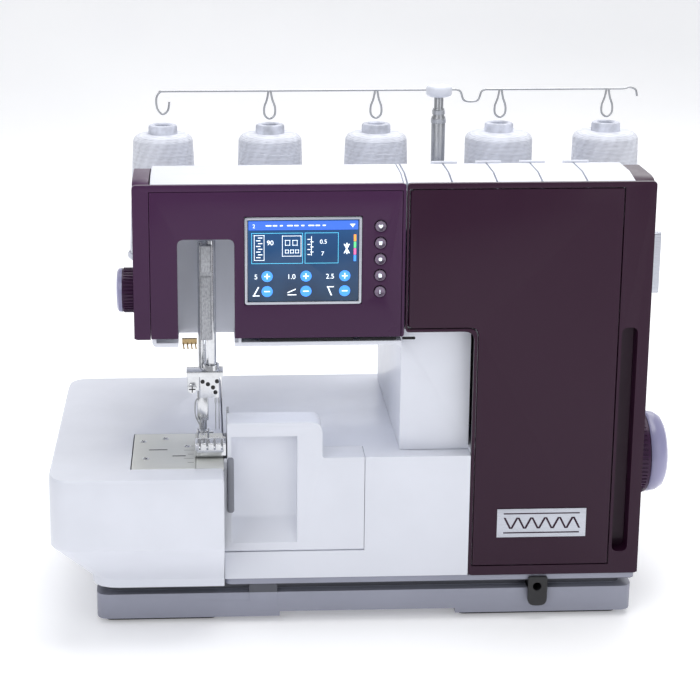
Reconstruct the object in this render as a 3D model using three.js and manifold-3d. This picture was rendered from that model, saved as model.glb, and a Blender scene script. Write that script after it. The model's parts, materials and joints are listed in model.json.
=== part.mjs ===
// Overlock sewing machine (serger) as an assembly of separate solids.
// Millimetres, +Z up. While it is being built, X = 0 and Y = 0 lie on the needle bar and the
// front face, and Z = 0 is the table. The exported group is shifted so that its origin is at
// the middle of the assembly's box, on the table.
import * as THREE from "three";
import { mergeVertices } from "three/addons/utils/BufferGeometryUtils.js";
import Module from "manifold-3d";

const wasm = await Module();
wasm.setup();

// ---------------------------------------------------------------- driving dimensions
const gap = 0.4;              // clearance between pieces that touch
const slack = 0.8;            // clearance round pieces that slide or turn
const wall = 3;               // moulded casings

const headReach = 56.4;       // needle bar to the left side of the head
const bodyWidth = 383.1;      // left side of the head to the right side of the machine
const bodyDepth = 195;        // front face to the rear cover
const bedHeight = 135.4;      // table to sewing surface
const throatHeight = 94.1;    // sewing surface to the front panel's lower edge
const headHeight = 115.9;     // lower to upper edge of the front panel
const columnWidth = 184;      // column and its overhang
const baseHeight = 37.8;      // table to the lower edge of the fronts
const skirtZ = 33.5;          // lower edge of the removable bed
const footHigh = 5;
const frontThick = 4;         // coloured front panels
const cheekThick = 13;        // coloured side panels
const lipDrop = 7;            // casing below the head's front panel
const lowerInset = 53;        // overhang to the left of the lower front
const overhangZ = throatHeight + 3.5;   // sewing surface to the underside of the overhang
const crestRise = 3;          // crest of the top above the fronts' upper edge
const crestRear = 60;         // front face to the rear of the crest
const rearDrop = 26;          // the top falls by this much from the front edge to the rear

const left = -headReach;
const right = left + bodyWidth;
const headBottom = bedHeight + throatHeight;
const top = headBottom + headHeight;
const columnLeft = right - columnWidth;
const lowerLeft = columnLeft + lowerInset;
const overhangBottom = bedHeight + overhangZ;
const casingLeft = left + cheekThick;
const casingRight = right - cheekThick - 2;
const cheekInner = casingLeft - 1;
const casingTop = top - rearDrop - 6;
const casingFront = frontThick + gap;

const bedLeft = 8.5;          // seam between the removable and the fixed bed
const bedDepth = bodyDepth + 12;
const extensionReach = 120.8; // needle bar to the left edge of the removable bed
const extensionProud = 43.2;  // how far it stands in front of the fixed bed

const plateLeft = 60;         // needle bar to the left edge of the needle plate
const plateFront = 18;
const plateRear = 59;
const plateThick = 2.2;
const stitchPlateLeft = 12;
const armDepth = 72;          // height of the free arm under the plate

const shaftY = 80;            // main shaft and handwheel
const shaftZ = bedHeight - 27.1;
const shaftRadius = 5;
const wheelRadius = 34;
const wheelWidth = 34;
const drivenRadius = 26;
const motorPulleyRadius = 9;
const motorRise = 88;         // shaft to motor axis
const beltWidth = 8;
const beltThick = 2;

const needleY = 20;
const needleBarRadius = 4;
const needleTipRise = 15;     // needle tips above the plate with the bar at the top
const presserX = -6.7;
const presserY = 33;
const presserBarRadius = 3;
const footWidth = 23;
const footLength = 39;
const footHeight = 12.6;
const footMiddle = -1.1;      // needle bar to the middle of the foot

const standRise = top - 115.4; // table to the top of the thread stand
const standDepth = 78;
const standY = bodyDepth + 60;
const standOver = 10;         // stand past the head's left side
const standRight = 36;        // stand past the machine's right side
const coneStart = 17.4;       // left side of the head to the first cone
const coneGaps = [92, 91.5, 106.5, 93];
const coneSpots = coneGaps.reduce((spots, step) => [...spots, spots.at(-1) + step], [left + coneStart]);
const coneTops = [25.5, 27, 26.5, 29, 28];
const coneHeight = 109;
const coneBase = 30;
const coneBore = 7;
const coreRadius = 12.5;
const mastFromCone = 53.8;    // third cone to the mast
const mastX = coneSpots[2] + mastFromCone;
const mastRadius = 6;
const mastStep = 1;           // radius lost at each telescopic section
const mastTop = top + 6.6;    // top of the outer section
const wireRadius = 0.9;
const wireRise = top + 29.6;

const round = 28;             // facets on round pieces

// ---------------------------------------------------------------- materials
const paint = (color, roughness, metalness = 0) =>
  new THREE.MeshStandardMaterial({ color, roughness, metalness });
const plum = paint(0x55345a, 0.35);
const white = paint(0xeceef4, 0.4);
const grey = paint(0x9196a8, 0.5);
const black = paint(0x1b1b20, 0.5);
const rubber = paint(0x222226, 0.9);
const steel = paint(0xb8bcc0, 0.3, 1);
const chrome = paint(0xd8dadd, 0.15, 1);
const glass = paint(0x16365a, 0.1);
const silver = paint(0xbec3cc, 0.35, 1);
const cotton = paint(0xf4f5f8, 0.95);
const iron = paint(0x55585c, 0.6, 0.8);

// ---------------------------------------------------------------- shapes
// A closed outline through [u, v] points; a third number rounds that corner.
function outline(points) {
  const shape = new THREE.Shape();
  points.forEach(([u, v, r = 0], i) => {
    const here = new THREE.Vector2(u, v);
    const before = new THREE.Vector2(...points.at(i - 1).slice(0, 2));
    const after = new THREE.Vector2(...points[(i + 1) % points.length].slice(0, 2));
    const come = before.sub(here).normalize();
    const go = after.sub(here).normalize();
    const reach = r ? r / Math.tan(Math.acos(come.dot(go)) / 2) : 0;
    const start = here.clone().addScaledVector(come, reach);
    const end = here.clone().addScaledVector(go, reach);
    if (i === 0) shape.moveTo(start.x, start.y);
    else shape.lineTo(start.x, start.y);
    if (r) shape.quadraticCurveTo(u, v, end.x, end.y);
  });
  shape.closePath();
  return shape;
}

const rectangle = (u0, u1, v0, v1, r = 0) =>
  outline([[u0, v0, r], [u1, v0, r], [u1, v1, r], [u0, v1, r]]);

// Extrusions from one value to another along each axis.
function extrude(shape, from, to, curveSegments = 5) {
  const solid = new THREE.ExtrudeGeometry(shape, { depth: to - from, bevelEnabled: false, curveSegments });
  return solid.translate(0, 0, from);
}
const alongZ = (shape, from, to, segments) => extrude(shape, from, to, segments);
const alongY = (shape, from, to, segments) => extrude(shape, -to, -from, segments).rotateX(Math.PI / 2);
const alongX = (shape, from, to, segments) =>
  extrude(shape, from, to, segments).rotateX(Math.PI / 2).rotateZ(Math.PI / 2);

const box = (x0, x1, y0, y1, z0, z1) =>
  new THREE.BoxGeometry(x1 - x0, y1 - y0, z1 - z0).translate((x0 + x1) / 2, (y0 + y1) / 2, (z0 + z1) / 2);

// Round bars along an axis: centre given by the two other coordinates.
const barZ = (x, y, r, z0, z1, facets = round) =>
  new THREE.CylinderGeometry(r, r, z1 - z0, facets).rotateX(Math.PI / 2).translate(x, y, (z0 + z1) / 2);
const barX = (y, z, r, x0, x1, facets = round) =>
  new THREE.CylinderGeometry(r, r, x1 - x0, facets).rotateZ(Math.PI / 2).translate((x0 + x1) / 2, y, z);
const barY = (x, z, r, y0, y1, facets = round) =>
  new THREE.CylinderGeometry(r, r, y1 - y0, facets).translate(x, (y0 + y1) / 2, z);

// A turned piece from [radius, height] points, its axis along Z.
// A profile that stays off the axis is closed on itself.
function turned(profile, facets = round) {
  const closed = profile[0][0] > 0 ? [...profile, profile[0]] : profile;
  return new THREE.LatheGeometry(closed.map((p) => new THREE.Vector2(...p)), facets).rotateX(Math.PI / 2);
}

// Skin over outlines of equal point count, each at its own height.
function loft(sections) {
  const positions = [];
  const rings = sections.map(({ shape, z }) => shape.getPoints(5).slice(0, -1).map((p) => [p.x, p.y, z]));
  const quad = (a, b, c, d) => positions.push(...a, ...b, ...c, ...a, ...c, ...d);
  const count = rings[0].length;
  for (let k = 0; k + 1 < rings.length; k++) {
    for (let i = 0; i < count; i++) {
      const j = (i + 1) % count;
      quad(rings[k][i], rings[k][j], rings[k + 1][j], rings[k + 1][i]);
    }
  }
  const ends = [[rings[0], true], [rings.at(-1), false]];
  for (const [ring, down] of ends) {
    const flat = ring.map((p) => new THREE.Vector2(p[0], p[1]));
    for (const [a, b, c] of THREE.ShapeUtils.triangulateShape(flat, [])) {
      const face = down ? [a, c, b] : [a, b, c];
      positions.push(...face.flatMap((n) => ring[n]));
    }
  }
  const solid = new THREE.BufferGeometry();
  solid.setAttribute("position", new THREE.Float32BufferAttribute(positions, 3));
  return solid;
}

// ---------------------------------------------------------------- joining and cutting
function toSolid(geometry) {
  const bare = geometry.clone();
  bare.deleteAttribute("normal");
  bare.deleteAttribute("uv");
  const merged = mergeVertices(bare, 1e-4);
  return new wasm.Manifold(new wasm.Mesh({
    numProp: 3,
    vertProperties: new Float32Array(merged.attributes.position.array),
    triVerts: new Uint32Array(merged.index.array),
  }));
}

function toGeometry(solid) {
  const { numProp, vertProperties, triVerts } = solid.getMesh();
  const geometry = new THREE.BufferGeometry();
  const corners = new Float32Array((vertProperties.length / numProp) * 3);
  for (let i = 0; i < corners.length / 3; i++) {
    for (let k = 0; k < 3; k++) corners[3 * i + k] = vertProperties[numProp * i + k];
  }
  geometry.setAttribute("position", new THREE.BufferAttribute(corners, 3));
  geometry.setIndex(new THREE.BufferAttribute(new Uint32Array(triVerts), 1));
  const faceted = geometry.toNonIndexed();
  faceted.computeVertexNormals();
  return faceted;
}

const join = (...pieces) => toGeometry(pieces.map(toSolid).reduce((a, b) => a.add(b)));
const cut = (piece, ...tools) => toGeometry(tools.map(toSolid).reduce((a, b) => a.subtract(b),
  toSolid(piece)));

// ---------------------------------------------------------------- assembly
const machine = new THREE.Group();

function add(name, geometry, material, parent = machine, place = [0, 0, 0]) {
  const mesh = new THREE.Mesh(geometry, material);
  mesh.name = name;
  mesh.position.set(...place);
  parent.add(mesh);
  return mesh;
}

function groupAt(x, y, z, parent = machine) {
  const group = new THREE.Group();
  group.position.set(x, y, z);
  parent.add(group);
  return group;
}

// ---------------------------------------------------------------- base
function buildBase() {
  const trayLeft = left - 33.6;
  const trayRear = bodyDepth + 8;
  const waistTop = skirtZ - gap;
  const lower = alongZ(rectangle(trayLeft, right - 2, 4, trayRear, 10), footHigh, 25);
  const waist = alongZ(rectangle(trayLeft + 8, right - 10, 12, trayRear - 8, 8), 24, waistTop);
  const rim = alongZ(rectangle(bedLeft + gap, right - 1, 2, trayRear - 2, 6), waistTop - 0.5,
    baseHeight - gap);
  const handHold = box(handHoldLeft, handHoldRight, 0, trayRear + 1, footHigh - 1, footHigh + 3.8);
  const kneeHole = barY(kneeX, kneeZ, kneeRadius + slack, 0, 50);
  const catchTab = alongY(rectangle(bedLeft + 19, bedLeft + 40.5, 17.5, waistTop - 1, 1.5), 3.2, 14);
  const hollowRight = box(bedLeft + 2 * wall, right - 16, 18, trayRear - 14, footHigh + 6.8, baseHeight + 1);
  const hollowLeft = box(trayLeft + 12, bedLeft - wall, 18, trayRear - 14, footHigh - 1, waistTop - wall);
  add("base_tray", cut(join(lower, waist, rim, catchTab), handHold, kneeHole, hollowRight, hollowLeft),
    grey);
  const pads = { left: [trayLeft + 6, bedLeft - 6], right: [handHoldRight + 3, right - 12] };
  for (const [side, [x0, x1]] of Object.entries(pads)) {
    add(`foot_pad_${side}`, alongZ(rectangle(x0, x1, 12, trayRear - 10, 6), 0, footHigh - gap / 2), rubber);
  }
}

const handHoldLeft = bedLeft + 42.5;
const handHoldRight = lowerLeft - 8.7;
const kneeRadius = 6.5;
const kneeX = right - 77.3;
const kneeZ = baseHeight - 9.8;

function buildKneeSocket() {
  const pivot = groupAt(kneeX, 0, kneeZ);
  const tab = alongY(outline([[-7, 8, 2], [-7, -16, 6], [8, -16, 6], [8, 8, 2]]), -1.5, 1.6);
  const body = join(tab, barY(0, 0, kneeRadius, 1, 40));
  add("knee_lift_socket", cut(body, barY(0, 0, 3.2, -3, 30, 16)), black, pivot);
}

// ---------------------------------------------------------------- fixed bed and free arm
const bayLeft = bedLeft + 3;
const bayRight = columnLeft - 27.7;
const bayBottom = baseHeight + 22.2;
const bedFloor = baseHeight + gap;

function buildBed() {
  const shell = box(bedLeft + gap, casingRight, 0, bedDepth, bedFloor, bedHeight);
  const behindFronts = box(lowerLeft - gap, casingRight + 1, -1, casingFront, bedFloor - 1, bedHeight + 1);
  const hollow = box(bayLeft, casingRight - wall, casingFront + wall, bedDepth - wall, bedFloor + wall,
    bedHeight - wall);
  const bay = box(bedLeft - 1, bayRight + gap, -1, blockDepth + gap, bayBottom, bedHeight + 1);
  const knifeSlot = box(knifeX - 2.5, knifeX + 2.5, blockDepth, presserY + 6, bedHeight - wall - 1,
    bedHeight + 1);
  const armMouth = box(0, bayLeft + 1, -plateFront - 1, plateRear + gap, bedHeight - armDepth,
    bedHeight + 1);
  const shaftHole = barX(shaftY, shaftZ, shaftRadius + slack, casingRight - wall - 1, casingRight + 1);
  const beltHole = box(beltX - 8, beltX + 8, shaftY - 32, shaftY + 32, bedHeight - wall - 1, bedHeight + 1);
  add("bed_casing", cut(shell, behindFronts, hollow, bay, armMouth, knifeSlot, shaftHole, beltHole,
    fingerBlock(gap)), white);
}

function buildFreeArm() {
  const armTop = bedHeight - plateThick - gap;
  const outer = box(-plateLeft, bedLeft, -plateFront, plateRear, bedHeight - armDepth, armTop);
  const inner = box(wall - plateLeft, bedLeft + 1, wall - plateFront, plateRear - wall,
    bedHeight - armDepth + wall, armTop - 2);
  const window = box(-10, bedLeft + 1, 2, 48, armTop - 4, armTop + 1);
  add("free_arm", cut(outer, inner, window), grey);

  const plateZ = bedHeight - plateThick;
  const seam = -stitchPlateLeft;
  add("needle_plate", alongZ(rectangle(-plateLeft, seam - gap, -plateFront, plateRear, 1.5), plateZ,
    bedHeight), steel);
  const stitch = alongZ(rectangle(seam, bedLeft, -plateFront, plateRear, 0.8), plateZ, bedHeight);
  const slots = feedRows.map((x) => box(x - feedWidth / 2 - slack, x + feedWidth / 2 + slack,
    feedFront - feedStroke - slack, feedRear + feedStroke + slack, plateZ - 1, bedHeight + 1));
  const needleSlot = box(1.4, 7.2, needleY - 3, needleY + 3, plateZ - 1, bedHeight + 1);
  add("stitch_plate", cut(stitch, ...slots, needleSlot), steel);
}

const feedRows = [-8, -2.4];
const feedWidth = 3;
const feedFront = 9;
const feedRear = 34;
const feedStroke = 2;

function buildFeedDog() {
  const feed = groupAt(0, 0, bedHeight);
  const teeth = 8;
  const pitch = (feedRear - feedFront) / teeth;
  const profile = [[feedFront, -10], [feedRear, -10], [feedRear, -1]];
  for (let i = teeth; i > 0; i--) {
    profile.push([feedFront + pitch * (i - 0.4), -0.1], [feedFront + pitch * (i - 1), -1]);
  }
  const rows = feedRows.map((x) => alongX(outline(profile), x - feedWidth / 2, x + feedWidth / 2));
  const carrier = box(feedRows[0] - feedWidth / 2, feedRows[1] + feedWidth / 2, feedFront, feedRear, -16,
    -9.5);
  add("feed_dog", join(...rows, carrier), steel, feed);
}

// ---------------------------------------------------------------- removable bed
function buildExtension() {
  const front = -extensionProud;
  const flareTop = baseHeight + 43.2;
  const section = (inset, lean, z) => ({
    // lean 0 is the full outline; lean 1 draws the front and left sides in to the base's own
    z,
    shape: outline([
      [inset + lean * 29 - extensionReach, front + inset + lean * 43, 22 - inset],
      [bedLeft - inset, front + inset + lean * 43, 1],
      [bedLeft - inset, bedDepth - 2 - inset, 1],
      [inset + lean * 29 - extensionReach, bedDepth - 2 - inset, 18 - inset],
    ]),
  });
  const outer = loft([section(0, 0.95, skirtZ), section(0, 0.95, skirtZ + 6.5), section(0, 0, flareTop),
    section(0, 0, bedHeight - 3),
    section(1.2, 0, bedHeight)]);
  const inner = loft([section(wall, 0.95, skirtZ - 1), section(wall, 0.95, skirtZ + 7.5),
    section(wall, 0, flareTop + 1), section(wall, 0, bedHeight - wall)]);
  const armRoom = box(-plateLeft - slack, bedLeft + 1, -plateFront - slack, plateRear + slack,
    bedHeight - armDepth - slack, bedHeight + 1);
  add("bed_extension", cut(outer, inner, armRoom), white);
}

// ---------------------------------------------------------------- looper cover and bay
const coverThick = 3;
const blockLeft = footMiddle + footWidth / 2 + 1;
const blockRight = columnLeft - 59.7;
const blockTop = bedHeight + 28.3;
const blockDepth = 25;
const recessRight = columnLeft - 78.7;
const recessTop = bedHeight + 17.6;
const recessDepth = 12;

function buildLooperCover() {
  const pivot = groupAt(0, 0, bayBottom + gap);
  const low = bayBottom + gap;
  const face = outline([
    [bedLeft + gap, low], [bayRight, low], [bayRight, bedHeight],
    [blockRight, bedHeight, 2], [blockRight, blockTop, 9], [blockLeft, blockTop, 1.5],
    [blockLeft, bedHeight], [bedLeft + gap, bedHeight],
  ]);
  const outer = alongY(face, 0, blockDepth);
  const hollowLow = box(bedLeft - 1, bayRight - coverThick, recessDepth + coverThick, blockDepth + 1,
    low - 1, bedHeight - coverThick);
  const hollowHigh = box(blockLeft + coverThick, blockRight - coverThick, recessDepth + coverThick,
    blockDepth + 1,
    bedHeight - coverThick - 1, blockTop - coverThick);
  const hollowSide = box(recessRight + coverThick, bayRight - coverThick, coverThick, blockDepth + 1,
    low - 1, bedHeight - coverThick);
  const recess = alongX(outline([[-1, bayBottom + 6, 1], [recessDepth, bayBottom + 24, 6],
    [recessDepth, recessTop, 6], [-1, recessTop]]),
    blockLeft + coverThick, recessRight);
  // The strip left of the block is kept shallow, so that it passes under the foot as it tips forward.
  const besideFoot = box(bedLeft - 1, blockLeft, coverThick - gap, blockDepth + 1, low - 1, bedHeight + 1);
  const hingeEase = alongX(outline([[-1, low - 1], [2.2, low - 1], [-1, low + 2.2]]), bedLeft - 1,
    bayRight + 1);
  const piece = cut(outer, hollowLow, hollowHigh, hollowSide, recess, besideFoot, hingeEase);
  add("looper_cover", piece.translate(0, 0, -low), white, pivot);
}

// An arm that swings about Y, reaching from its hub to a hooked tip.
function looper(name, x, y, z, reach, rise) {
  const pivot = groupAt(x, y, z);
  const arm = outline([[-3, 0], [3, 0], [3, rise, 5], [reach, rise + 3], [reach, rise + 1.2],
    [-3, rise - 4, 4]]);
  add(name, join(barY(0, 0, 6, -3, 3, 20), alongY(arm, -1.5, 1.5)), chrome, pivot);
}

const knifeX = blockLeft + 0.8;

function buildLoopers() {
  looper("lower_looper", 38, 44, bedHeight - 59.4, -18, 40);
  looper("upper_looper", 62, 34, bedHeight - 55.4, -26, 36);
  const knife = groupAt(knifeX, presserY - 2, bedHeight);
  const blade = alongX(outline([[-5, -5], [5, -1], [5, 30, 2], [-5, 30, 2]]), -1, 1);
  add("upper_knife", blade, iron, knife);
}

// ---------------------------------------------------------------- head and column casing
const beltX = right - 36.7;
const motorZ = shaftZ + motorRise;
const needleOpening = { x0: -24.1, x1: 17.6, top: headBottom + 75.5 };
const nicheDepth = 42;        // front face to the wall behind the needle and presser bars
const nicheRight = 22.5;

function buildCasing() {
  const lip = headBottom - lipDrop;
  const columnFront = casingFront + 10.6;
  const outside = outline([[casingLeft, lip, 4], [columnLeft, lip, 8], [columnLeft, bedHeight + gap],
    [casingRight, bedHeight + gap], [casingRight, casingTop], [casingLeft, casingTop]]);
  const inside = outline([[casingLeft + wall, lip + wall], [columnLeft + wall, lip + wall],
    [columnLeft + wall, bedHeight + gap + wall], [casingRight - wall, bedHeight + gap + wall],
    [casingRight - wall, casingTop - wall], [casingLeft + wall, casingTop - wall]]);
  const stepBack = box(columnLeft - 1, lowerLeft - gap, 0, columnFront, bedHeight, overhangBottom + 1);
  const frontWall = box(columnLeft + 1, lowerLeft - gap, columnFront, columnFront + wall, bedHeight + gap,
    overhangBottom + wall);
  const shelf = box(columnLeft + 1, lowerLeft - gap, casingFront, columnFront + wall, overhangBottom + 1,
    overhangBottom + 1 + wall);
  const needleWell = box(needleOpening.x0, needleOpening.x1, 0, nicheDepth, lip - 1, lip + wall + 1);
  const beltHole = box(beltX - 8, beltX + 8, shaftY - 32, shaftY + 32, bedHeight,
    bedHeight + gap + wall + 1);
  const shell = cut(alongY(outside, casingFront, bodyDepth - wall),
    alongY(inside, casingFront - 1, bodyDepth));
  const leverSlot = box(8, 24, bodyDepth - 30, bodyDepth + 1, lip - 1, lip + wall + 1);
  const nicheBack = box(casingLeft + 1, nicheRight, nicheDepth, nicheDepth + wall, lip + 1, casingTop - 1);
  const nicheSide = box(nicheRight - 2, nicheRight, casingFront, nicheDepth + 1, lip + 1, casingTop - 1);
  const shellWithStep = join(cut(shell, stepBack), frontWall, shelf, nicheBack, nicheSide);
  add("body_casing", cut(shellWithStep, needleWell, beltHole, leverSlot, fingerBlock(gap), buttonRoom),
    white);

  const back = alongY(outside, bodyDepth - wall + gap, bodyDepth);
  const vents = [];
  for (let i = 0; i < 8; i++) {
    const x = columnLeft + 79 + 9 * i;
    vents.push(box(x, x + 4, bodyDepth - 9, bodyDepth + 1, bedHeight + 40, bedHeight + 70));
  }
  add("rear_cover", cut(back, leverSlot, ...vents), white);
}

// ---------------------------------------------------------------- coloured fronts
const screen = { x0: needleOpening.x1 + 9.9, x1: columnLeft - 34.2, z0: top - 87.4, z1: top - 26.4 };
const bezelRim = 2.3;
const buttonX = columnLeft - 18.2;
const buttonRows = [31.4, 44, 56.2, 68.4, 80.7].map((fall) => top - fall);
const buttonRadius = 4.2;
const buttonRoom = box(buttonX - 7, buttonX + 7, 0, frontThick + 4, buttonRows.at(-1) - 7,
  buttonRows[0] + 7);
const panelInset = 4.8;
const doorLeft = columnLeft + 3.4;
const doorRight = right - 23.7;
const fingerWidth = 12;
const fingerDepth = 14;
const fingerLow = baseHeight + 18;
const fingerHigh = headBottom + 5.3;

// Material round the finger recess, behind the front; room is left for it in the casings.
const fingerBlock = (room) => box(doorRight + slack - room, casingRight + 2, frontThick - 1 - room,
  fingerDepth + wall + room,
  fingerLow - wall - room, fingerHigh + wall + room);

function buildFronts() {
  const seam = columnLeft + 0.2;
  const side = cheekOutline(headBottom, 3);
  const cheek = cut(alongX(side, left, cheekInner),
    box(left + wall, cheekInner + 1, 20, bodyDepth - 8, headBottom + 6, cheekHollowTop));
  const edges = rectangle(left, seam, headBottom, top, 3);
  const edgeWindow = rectangle(cheekInner, seam - 2, headBottom - 5, top - panelInset, 1);
  const brow = cut(alongY(edges, 0, frontThick), alongY(edgeWindow, -1, frontThick + 1));
  add("head_frame", join(cheek, brow), plum);

  const panel = alongY(rectangle(cheekInner + gap, seam - 2 - gap, headBottom + 0.4, top - panelInset - gap,
    1), 0, frontThick);
  const well = alongY(rectangle(needleOpening.x0, needleOpening.x1, headBottom - 20, needleOpening.top, 5),
    -1, frontThick + 1);
  const glassRoom = box(screen.x0 - bezelRim - gap, screen.x1 + bezelRim + gap, -1, frontThick + 1,
    screen.z0 - bezelRim - gap, screen.z1 + bezelRim + gap);
  const holes = buttonRows.map((z) => barY(buttonX, z, buttonRadius + gap, -1, frontThick + 1, 20));
  add("head_panel", cut(panel, well, glassRoom, ...holes), plum);

  const rim = cut(
    alongY(rectangle(screen.x0 - bezelRim, screen.x1 + bezelRim, screen.z0 - bezelRim, screen.z1 + bezelRim,
      2), -0.6, frontThick),
    box(screen.x0 - gap, screen.x1 + gap, -2, frontThick + 1, screen.z0 - gap, screen.z1 + gap));
  add("screen_bezel", rim, silver);
  add("touch_screen", box(screen.x0, screen.x1, -0.3, frontThick - 1, screen.z0, screen.z1), glass);
  buttonRows.forEach((z, i) => {
    const place = groupAt(buttonX, 0, z);
    const cap = join(barY(0, 0, buttonRadius, -1.2, 3, 20),
      barY(0, 0, buttonRadius + 1.4, frontThick + 1.6, frontThick + 2.6, 20),
      barY(0, 0, buttonRadius - 1, 2.5, frontThick + 2, 20));
    add(`button_${i + 1}`, cap, chrome, place);
  });
}

function buildRightFront() {
  const seamLeft = columnLeft + 1.3;
  const lShape = (inset, leftX, lowX, rightX, low, high, r) => outline([
    [lowX, low, r], [rightX, low, r], [rightX, high, r], [leftX, high, r],
    [leftX, overhangBottom + inset, r], [lowX, overhangBottom + inset, 8 - inset / 2]]);
  const frame = alongY(lShape(0, seamLeft, lowerLeft, right, baseHeight, top, 3), 0, frontThick);
  const doorway = alongY(lShape(3 - slack, doorLeft - slack, lowerLeft + 3 - slack, doorRight + slack,
    baseHeight + 8.2 - slack, top - panelInset + slack, 1), -1, frontThick + 1);
  const side = cheekOutline(baseHeight, 2);
  const cheekHollow = box(casingRight, right - wall, 26, bodyDepth - 8, baseHeight + 6, cheekHollowTop);
  const cheek = cut(alongX(side, casingRight + gap, right), cheekHollow);
  const finger = alongY(rectangle(doorRight + 3, doorRight + 3 + fingerWidth, fingerLow, fingerHigh, 5), -1,
    fingerDepth);
  const leverWell = alongX(rectangle(leverY - 12, leverY + 12, leverZ - 30.5, leverZ + 30.5, 4), right - 2,
    right + 1);
  const shaftHole = barX(shaftY, shaftZ, shaftRadius + slack, casingRight, right + 1);
  const inlet = box(casingRight, right + 1, inletY - 16, inletY + 16, powerZ - 12, powerZ + 12);
  const switchRoom = box(casingRight, right + 1, switchY - 12, switchY + 12, powerZ - 10, powerZ + 10);
  add("front_frame", cut(join(cut(frame, doorway), fingerBlock(0), cheek), finger, leverWell, shaftHole,
    inlet, switchRoom), plum);

  const hinge = groupAt(hingeX, hingeY, 0);
  const panel = alongY(lShape(3, doorLeft, lowerLeft + 3, doorRight, baseHeight + 8.2, top - panelInset, 1),
    0, frontThick);
  const hingeEdge = barZ(hingeX, hingeY, frontThick / 2, overhangBottom + 4, top - panelInset - 1, 20);
  const square = box(doorLeft - 1, hingeX, -1, frontThick + 1, overhangBottom, top);
  add("front_door", join(cut(panel, square), hingeEdge).translate(-hingeX, -hingeY, 0), plum, hinge);
  const badge = box(badgeX - 34.2, badgeX + 34.2, -0.8, -gap / 2, badgeZ - 11.5, badgeZ + 11.5);
  add("badge_plate", badge.translate(-hingeX, -hingeY, 0), silver, hinge);
}

const hingeX = doorLeft + frontThick / 2;
const hingeY = frontThick / 2;
const badgeX = (lowerLeft + 3 + doorRight) / 2;
const badgeZ = baseHeight + 42.7;
const leverY = 40;
const leverZ = top - 70.4;
const inletY = bodyDepth - 29;
const switchY = bodyDepth - 65;
const powerZ = baseHeight + 26.2;

// Side view of a cheek: a rounded front edge, then down to the rear with the top.
const cheekHollowTop = top - rearDrop - 8;
const cheekOutline = (low, r) => outline([[0, low, r], [bodyDepth, low, 3], [bodyDepth, top - rearDrop, 10],
  [crestRear, top + 1, 20], [0, top + 1, 20]]);

// ---------------------------------------------------------------- top covers and thread path
const coverSplit = columnLeft - 1.5;
const guideGroove = 1.4;
const guidePitch = 33.2;
const guideCount = 5;

// Side view of the top: up from the front edge to a low crest, then down to the rear cover.
const topProfile = (low) => outline([
  [casingFront, low], [bodyDepth, low], [bodyDepth, top - rearDrop, 4], [crestRear, top + crestRise, 24],
  [26, top + crestRise, 18], [casingFront, top - 0.5, 1.5]]);

function buildTop() {
  const low = casingTop + gap;
  const ceiling = top - 9;      // clear of the guide grooves
  const underside = alongX(outline([[casingFront + wall, low - 1], [bodyDepth - wall, low - 1],
    [bodyDepth - wall, top - rearDrop - wall], [crestRear, ceiling], [casingFront + wall, ceiling]]),
  casingLeft + wall, casingRight - wall);
  add("top_cover", cut(alongX(topProfile(low), casingLeft, coverSplit), underside, buttonRoom), white);
  const block = alongX(topProfile(low), coverSplit + gap, casingRight);
  const grooves = [];
  for (let i = 0; i < guideCount; i++) {
    const x = columnLeft + guidePitch * i + (i ? 0.9 : 1.2);
    grooves.push(box(x - guideGroove / 2, x + guideGroove / 2, 0, 62, top - 6, top + 20));
  }
  const wires = [];
  for (let i = 1; i < guideCount; i++) {
    const x = columnLeft + guidePitch * i + 2.8 + i * 0.3;
    wires.push(barX(62, top + crestRise + 0.6, 1, x - 10.8, x + 9, 8));
    wires.push(barZ(x - 10, 62, 1, top, top + crestRise + 0.8, 8),
      barZ(x + 8, 62, 1, top, top + crestRise + 0.8, 8));
  }
  add("thread_guide_block", join(cut(block, underside, ...grooves), ...wires), white);
}

function buildThreadingPanel() {
  const panelFront = 24;
  const shape = outline([[lowerLeft + 4, bedHeight + 6], [casingRight - wall - 8, bedHeight + 6],
    [casingRight - wall - 8, casingTop - wall - 1], [columnLeft + wall + 2, casingTop - wall - 1],
    [columnLeft + wall + 2, overhangBottom + 8], [lowerLeft + 4, overhangBottom + 8]]);
  const plate = alongY(shape, panelFront, panelFront + wall);
  const discs = [];
  for (let i = 0; i < guideCount - 1; i++) {
    const x = columnLeft + guidePitch * (i + 1) + 0.9;
    discs.push(barY(x, casingTop - 42, 9, panelFront - 9, panelFront + 1, 20));
    discs.push(barY(x, casingTop - 42, 5, panelFront - 14, panelFront, 16));
    discs.push(box(x - 1.5, x + 1.5, panelFront - 6, panelFront + 1, casingTop - 26, casingTop - 8));
  }
  add("threading_panel", join(plate, ...discs), white);
}

// ---------------------------------------------------------------- needle bar and presser
const tipZ = bedHeight + needleTipRise;

function buildNeedleBar() {
  const bar = groupAt(0, needleY, tipZ);
  add("needle_bar", barZ(0, 0, needleBarRadius, 46.3, casingTop - wall - 10 - tipZ, 20), chrome, bar);
  const clamp = join(
    alongZ(rectangle(-9.3, 6.2, -7, 7, 1.5), 29.5, 46),
    alongZ(rectangle(-18.2, -8.8, -6.5, 3, 1), 35, 46.2),
    barY(-14.4, 37.2, 3.5, -10, 0, 16),
    box(-18.6, 8.8, -7.2, 6, 45.8, 50),
    barZ(0, 0, 6, 49, 53.9, 20));
  const needles = [[3, "left"], [5.6, "right"]];
  const sockets = needles.map(([x]) => barZ(x, 0, 1.05, 24, 41.3, 10));
  add("needle_clamp", cut(clamp, barZ(0, 0, needleBarRadius + gap, 46, 60, 20), ...sockets), chrome, bar);
  for (const [x, side] of needles) {
    const stem = turned([[0, 0], [0.35, 3], [0.45, 22], [0.85, 24], [0.85, 41], [0, 41]], 10);
    add(`needle_${side}`, stem, steel, bar, [x, 0, 0]);
  }
}

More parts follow.
